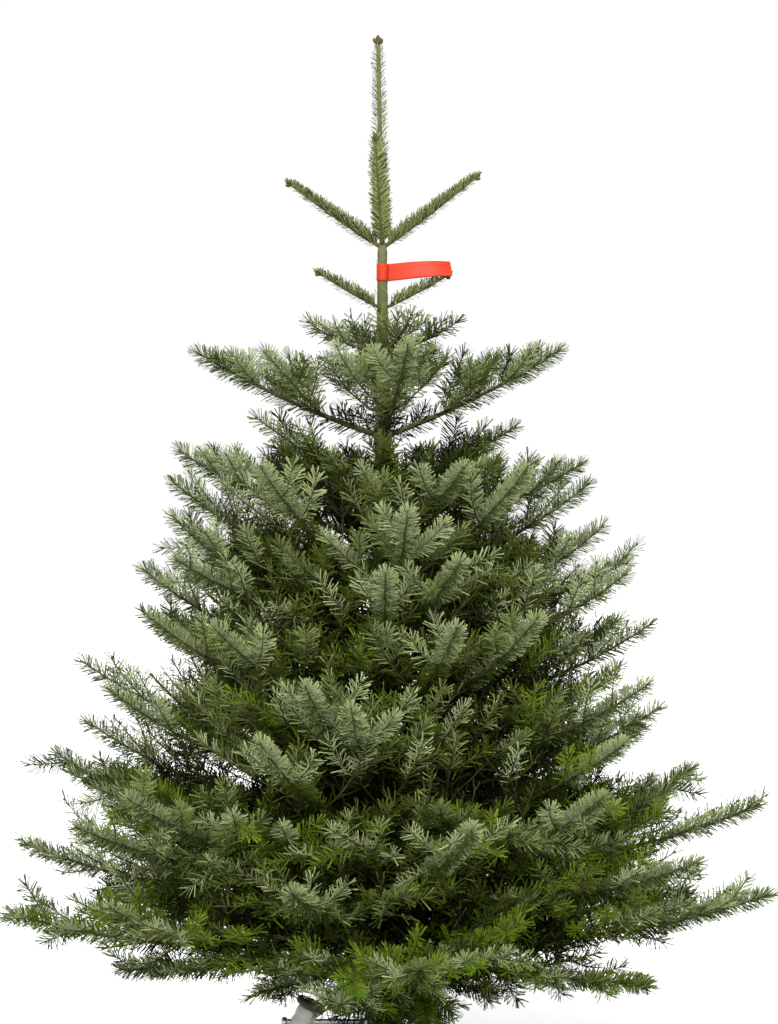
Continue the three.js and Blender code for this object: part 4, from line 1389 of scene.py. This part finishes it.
def lathe(profile: Array, sides: int) -> Mesh:
    """Turns a profile about the Z axis: radius times the cosine and sine of the turn, at its height.

    Args:
        profile: rows of radius and height, from the lowest end on the axis to the highest.
        sides: corners round the axis.

    Returns:
        Vertices and faces, closed at both ends by a flat face.
    """
    turns = np.arange(sides) * 2 * math.pi / sides
    x = profile[:, :1] * np.cos(turns)
    y = profile[:, :1] * np.sin(turns)
    z = np.repeat(profile[:, 1:], sides, 1)
    return np.stack([x, y, z], -1).reshape(-1, 3), ring_faces(len(profile), sides)


def turned(mesh: Mesh, azimuth: float) -> Mesh:
    """Turns a mesh about the Z axis by an azimuth in degrees."""
    vertices, faces = mesh
    c, s = math.cos(math.radians(azimuth)), math.sin(math.radians(azimuth))
    x, y, z = vertices.T
    return np.stack([x * c - y * s, x * s + y * c, z], -1), faces


@dataclass
class Stand:
    """A three-armed stand: one moulding of base, water bowl and arms, with caps and clamp screws."""

    trunk: Trunk
    base_radius: float = 250
    base_rim: float = 12
    bowl_radius: float = 92
    bowl_wall: float = 8
    bowl_floor: float = 36
    bowl_height: float = 132
    bowl_sweep: tuple[Pair, ...] = ((60, -14), (16, 2), (2, 26))  # past its wall, over its floor
    lip: float = 4
    arm_azimuths: tuple[float, ...] = (180, 300, 60)
    arm_lean: float = 27
    arm_radius: float = 20
    arm_foot: float = 14
    arm_reach: float = 137
    arm_height: float = 174
    rib_pitch: float = 21
    rib_depth: float = 2
    rib_roundness: float = 0.6
    cap_radius: float = 28
    cap_thickness: float = 15
    cap_gap: float = 0.3
    dish_rims: Pair = (3, 5)
    dish_depth: float = 1.5
    axis_hole: float = 1  # the radius of the flat face that closes a cap or screw on its axis
    screw_height: float = 150
    screw_radius: float = 5
    screw_reach: float = 186
    thread_pitch: float = 2.6
    thread_depth: float = 0.35
    pad_radius: float = 14
    pad_thickness: float = 7
    pad_gap: float = 0.8
    head_radius: float = 8
    head_length: float = 9

    def build(self, plastic: Material, rubber: Material, steel: Material) -> None:
        """Makes the moulding, the three caps and the three screws."""
        arms = [turned(self.arm(), azimuth) for azimuth in self.arm_azimuths]
        piece = make_object("stand_moulding", *stack([self.base(), *arms]), [plastic])
        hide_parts("stand")
        for k, azimuth in enumerate(self.arm_azimuths):
            cap = make_object(f"arm_end_{k + 1}", *turned(self.cap(), azimuth), [rubber])
            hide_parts(f"arm_cap_{k + 1}")
            screw = make_object(f"screw_{k + 1}", *turned(self.screw(), azimuth), [steel])
            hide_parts(f"clamp_screw_{k + 1}")

    def base(self) -> Mesh:
        """Turns the base and bowl: a disc, a sweep up to the bowl's wall, a rolled lip and the inside."""
        inside = self.bowl_radius - self.bowl_wall
        outline = [
            (self.base_radius - 4, 0),
            (self.base_radius, 1),
            (self.base_radius, self.base_rim - 4),
            (self.base_radius - 8, self.base_rim),
            *((self.bowl_radius + past, self.bowl_floor + over) for past, over in self.bowl_sweep),
            (self.bowl_radius, self.bowl_height - 2 * self.lip),
            (self.bowl_radius + self.lip, self.bowl_height - 6),
            (self.bowl_radius + self.lip, self.bowl_height),
            (inside, self.bowl_height),
            (inside, self.bowl_height - 6),
            (inside - 2, self.bowl_floor + 14),
            (inside - 16, self.bowl_floor),
        ]
        profile = np.concatenate([[(2.0, 0.0)], rounded(outline, 3), [(2.0, self.bowl_floor)]])
        return lathe(profile, 128)

    def on_arm(self, mesh: Mesh) -> Mesh:
        """Leans a mesh that hangs from the origin towards the trunk, and moves it to the arm's top."""
        vertices, faces = mesh
        lean = math.radians(self.arm_lean)
        x, y, z = vertices.T
        across = x * math.cos(lean) - z * math.sin(lean) + self.arm_reach
        up = x * math.sin(lean) + z * math.cos(lean) + self.arm_height
        return np.stack([across, y, up], -1), faces

    def arm(self) -> Mesh:
        """Turns an arm whose radius swells and narrows once for each rib, and ends inside the base."""
        length = (self.arm_height - self.arm_foot) / math.cos(math.radians(self.arm_lean))
        z = np.linspace(-length, 0, 8 * int(length / self.rib_pitch) + 1)
        wave = np.abs(np.sin(math.pi * z / self.rib_pitch)) ** self.rib_roundness
        radius = self.arm_radius - self.rib_depth + self.rib_depth * wave
        return self.on_arm(lathe(np.stack([radius, z], -1), 40))

    def cap(self) -> Mesh:
        """Turns a cap, its rim a half circle, with a shallow dish in its top."""
        half = self.cap_thickness / 2
        flat = self.cap_radius - half
        turn = np.linspace(-math.pi / 2, math.pi / 2, 13)
        rim = np.stack([flat + half * np.cos(turn), self.cap_gap + half + half * np.sin(turn)], -1)
        top = self.cap_gap + self.cap_thickness
        outer, inner = self.dish_rims
        bottom = top - self.dish_depth
        dish = rounded([(flat - outer, top), (flat - inner, bottom), (self.axis_hole, bottom)], 1)
        return self.on_arm(lathe(np.concatenate([[(self.axis_hole, self.cap_gap)], rim, dish]), 56))

    def screw(self) -> Mesh:
        """Turns a clamp screw: a round pad at the trunk, a threaded rod and a head outside the arm."""
        inner = float(self.trunk.radius(self.screw_height)) + self.pad_gap
        pad = inner + self.pad_thickness
        head = self.screw_reach - self.head_length
        rod = np.linspace(pad, head, 200)
        wave = self.thread_depth * np.cos(2 * math.pi * rod / self.thread_pitch)
        start = [(self.axis_hole, inner), (self.pad_radius - 1, inner), (self.pad_radius, inner + 1)]
        start += [(self.pad_radius, pad - 1.5), (self.pad_radius - 1.5, pad)]
        end = [(self.head_radius, head), (self.head_radius, self.screw_reach - 2)]
        end += [(self.head_radius - 2, self.screw_reach), (self.axis_hole, self.screw_reach)]
        thread = np.stack([self.screw_radius - self.thread_depth + wave, rod], -1)
        vertices, faces = lathe(np.concatenate([start, thread, end]), 32)
        x, y, z = vertices.T
        return np.stack([z, y, self.screw_height - x], -1), faces


@dataclass
class HeightTag:
    """A strip of marking tape looped round the trunk, its two ends pressed together as a flag."""

    trunk: Trunk
    height: float = 31
    middle: float = 1498
    length: float = 124
    film: float = 0.6
    play: float = 1.6
    shorter: float = 1.5
    flag_start: float = 14
    twist: float = 32
    rise: float = 7
    swell: float = 2.4
    skew: float = 4
    rows: int = 12

    def path(self) -> Array:
        """Lays the strip's line, seen from above: in along the flag, round the trunk and out again."""
        loop = float(self.trunk.radius(self.middle)) + self.play
        out = np.linspace(self.length, loop + 2, 40)
        apart = np.full_like(out, self.film * 0.75)
        turns = np.radians(np.linspace(-8, -352, 56))
        near = np.stack([out, -apart], -1)
        round_trunk = np.stack([loop * np.cos(turns), loop * np.sin(turns)], -1)
        back = np.stack([out[::-1] - self.shorter, apart], -1)
        return np.concatenate([near, round_trunk, back])

    def build(self, tape: Material) -> Piece:
        """Skins the strip: its line, thickened by the film, times its height.

        Along the flag the strip leans back by an angle that grows with the distance, rises on half a
        sine wave, and swells and dips by a slow one. Its end is cut a little askew.

        Args:
            tape: the film's material.

        Returns:
            The tag's piece.
        """
        line = self.path()
        tangent = unit(np.gradient(line, axis=0))
        normal = np.stack([tangent[:, 1], -tangent[:, 0]], -1)
        sheets = []
        for sign in (1, -1):
            flat = line + normal * self.film / 2 * sign
            x = np.repeat(flat[:, :1], self.rows, 1)
            y = np.repeat(flat[:, 1:], self.rows, 1)
            z = np.repeat(np.linspace(-self.height / 2, self.height / 2, self.rows)[None], len(line), 0)
            share = np.clip((x - self.flag_start) / (self.length - self.flag_start), 0, 1)
            lean = np.radians(self.twist * share)
            wave = self.swell * np.sin(2.2 * math.pi * share) * share
            rise = self.rise * np.sin(0.55 * math.pi * share)
            along = x - self.skew * share**8 * z / self.height
            aside = y * np.cos(lean) + z * np.sin(lean) + wave
            up = z * np.cos(lean) - y * np.sin(lean) + rise
            sheets.append(np.stack([along, aside, up], -1))
        ring = np.concatenate([sheets[0], sheets[1][:, ::-1]], 1)
        across = ring.shape[1]
        vertices = ring.reshape(-1, 3) + self.trunk.centre(self.middle)
        quads = ring_faces(len(line), across)[0][:, [0, 3, 2, 1]]
        half = np.arange(self.rows - 1)
        near = np.stack([half, half + 1, across - 2 - half, across - 1 - half], -1)
        end = (len(line) - 1) * across + near[:, ::-1]
        piece = make_object("tape_tag", vertices, [quads, near, end], [tape])
        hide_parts("height_tag")
        return piece


# ------------------------------------------------------------------ studio


@dataclass
class Studio:
    """The plain pale room: floor, soft lights and the level camera in front of the tree.

    A lamp is its name, its azimuth, elevation and spread in degrees, and its strength. Lengths are in
    metres, but for the camera's sensor.
    """

    distance: float = 5.5
    height: float = 1.067
    across: float = 0.007
    seen_height: float = 1.843
    sensor: float = 36
    half_floor: float = 40
    room_light: float = 1.0
    lamps: tuple[tuple[str, float, float, float, float], ...] = (
        ("key_light", -14, 40, 26, 4.2),
        ("fill_light", 22, 10, 40, 1.5),
        ("back_light", 165, 48, 50, 0.9),
    )

    def build(self) -> None:
        """Makes the floor, the lights, the world and the camera, and shows colours as they are."""
        bpy.context.scene.view_settings.view_transform = "Standard"
        self.build_floor()
        self.build_lights()
        self.build_camera()

    def build_floor(self) -> None:
        """Makes a wide flat floor, of painted board."""
        mesh = bpy.data.meshes.new("studio_floor")
        half = self.half_floor
        corners = [(-half, -half, 0), (half, -half, 0), (half, half, 0), (-half, half, 0)]
        mesh.from_pydata(corners, [], [(0, 1, 2, 3)])
        floor = bpy.data.objects.new("studio_floor", mesh)
        bpy.context.scene.collection.objects.link(floor)
        settings = {"Base Color": (0.8, 0.8, 0.8, 1), "Roughness": 0.9}
        mesh.materials.append(start_material("painted_board", settings)[0])

    def build_lights(self) -> None:
        """Lights the tree softly, from in front and from behind, and fills the room with white."""
        world = bpy.data.worlds.new("white_room")
        world.use_nodes = True
        background = world.node_tree.nodes["Background"]
        background.inputs["Color"].default_value = (1, 1, 1, 1)
        background.inputs["Strength"].default_value = self.room_light
        bpy.context.scene.world = world
        for name, azimuth, elevation, spread, strength in self.lamps:
            light = bpy.data.lights.new(name, "SUN")
            light.angle = math.radians(spread)
            light.energy = strength
            lamp = bpy.data.objects.new(name, light)
            bpy.context.scene.collection.objects.link(lamp)
            lamp.rotation_euler = (math.radians(90 - elevation), 0, math.radians(azimuth))

    def build_camera(self) -> None:
        """Makes the level camera, its lens worked out from the height it sees at the tree."""
        camera = bpy.data.cameras.new("camera")
        camera.sensor_width = self.sensor
        camera.lens = self.sensor * self.distance / self.seen_height
        eye = bpy.data.objects.new("camera", camera)
        bpy.context.scene.collection.objects.link(eye)
        eye.location = (self.across, -self.distance, self.height)
        eye.rotation_euler = (math.pi / 2, 0, 0)
        bpy.context.scene.camera = eye


def main() -> None:
    """Builds the tree, the stand, the tag and the studio."""
    logging.basicConfig(level=logging.INFO, format="%(message)s")
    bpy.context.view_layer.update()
    trunk = Trunk()
    # The barks are darker towards the foot.
    bark_foot, older = (0.0, "#312f1c"), "#3c3b22"
    green = ((0.72, "#4b4b2d"), (0.83, "#545433"), (1.0, "#5b5930"))
    trunk.build(BarkFinish("fir_bark", (bark_foot, (0.55, older), *green), "#63644f").material())
    twig_stops = ((0.0, "#2f2c19"), (0.5, "#3d3920"), (1.0, "#464327"))
    twig_bark = BarkFinish("fir_twig_bark", twig_stops, "#625c3c").material()
    limb_bark = BarkFinish("fir_limb_bark", (bark_foot, (1.0, older)), "#63644f").material()
    Foliage(trunk, twig_bark, limb_bark, [m for tint in TINTS for m in tint.materials()]).build()
    plastic = MouldedFinish("white_polypropylene", "#aaa8a3", "#a09e98", 0.4, 0.25).material()
    rubber = MouldedFinish("black_rubber", "#1c1b18", "#121210", 0.7, 0.6).material()
    steel = SteelFinish("zinc_plated_steel", "#a9abad").material()
    Stand(trunk).build(plastic, rubber, steel)
    # The tape's darker colour is painted shade in its creases.
    HeightTag(trunk).build(TapeFinish("polythene_tape", "#ae2a08", "#9c2204").material())
    Studio().build()


if __name__ == "__main__":
    main()
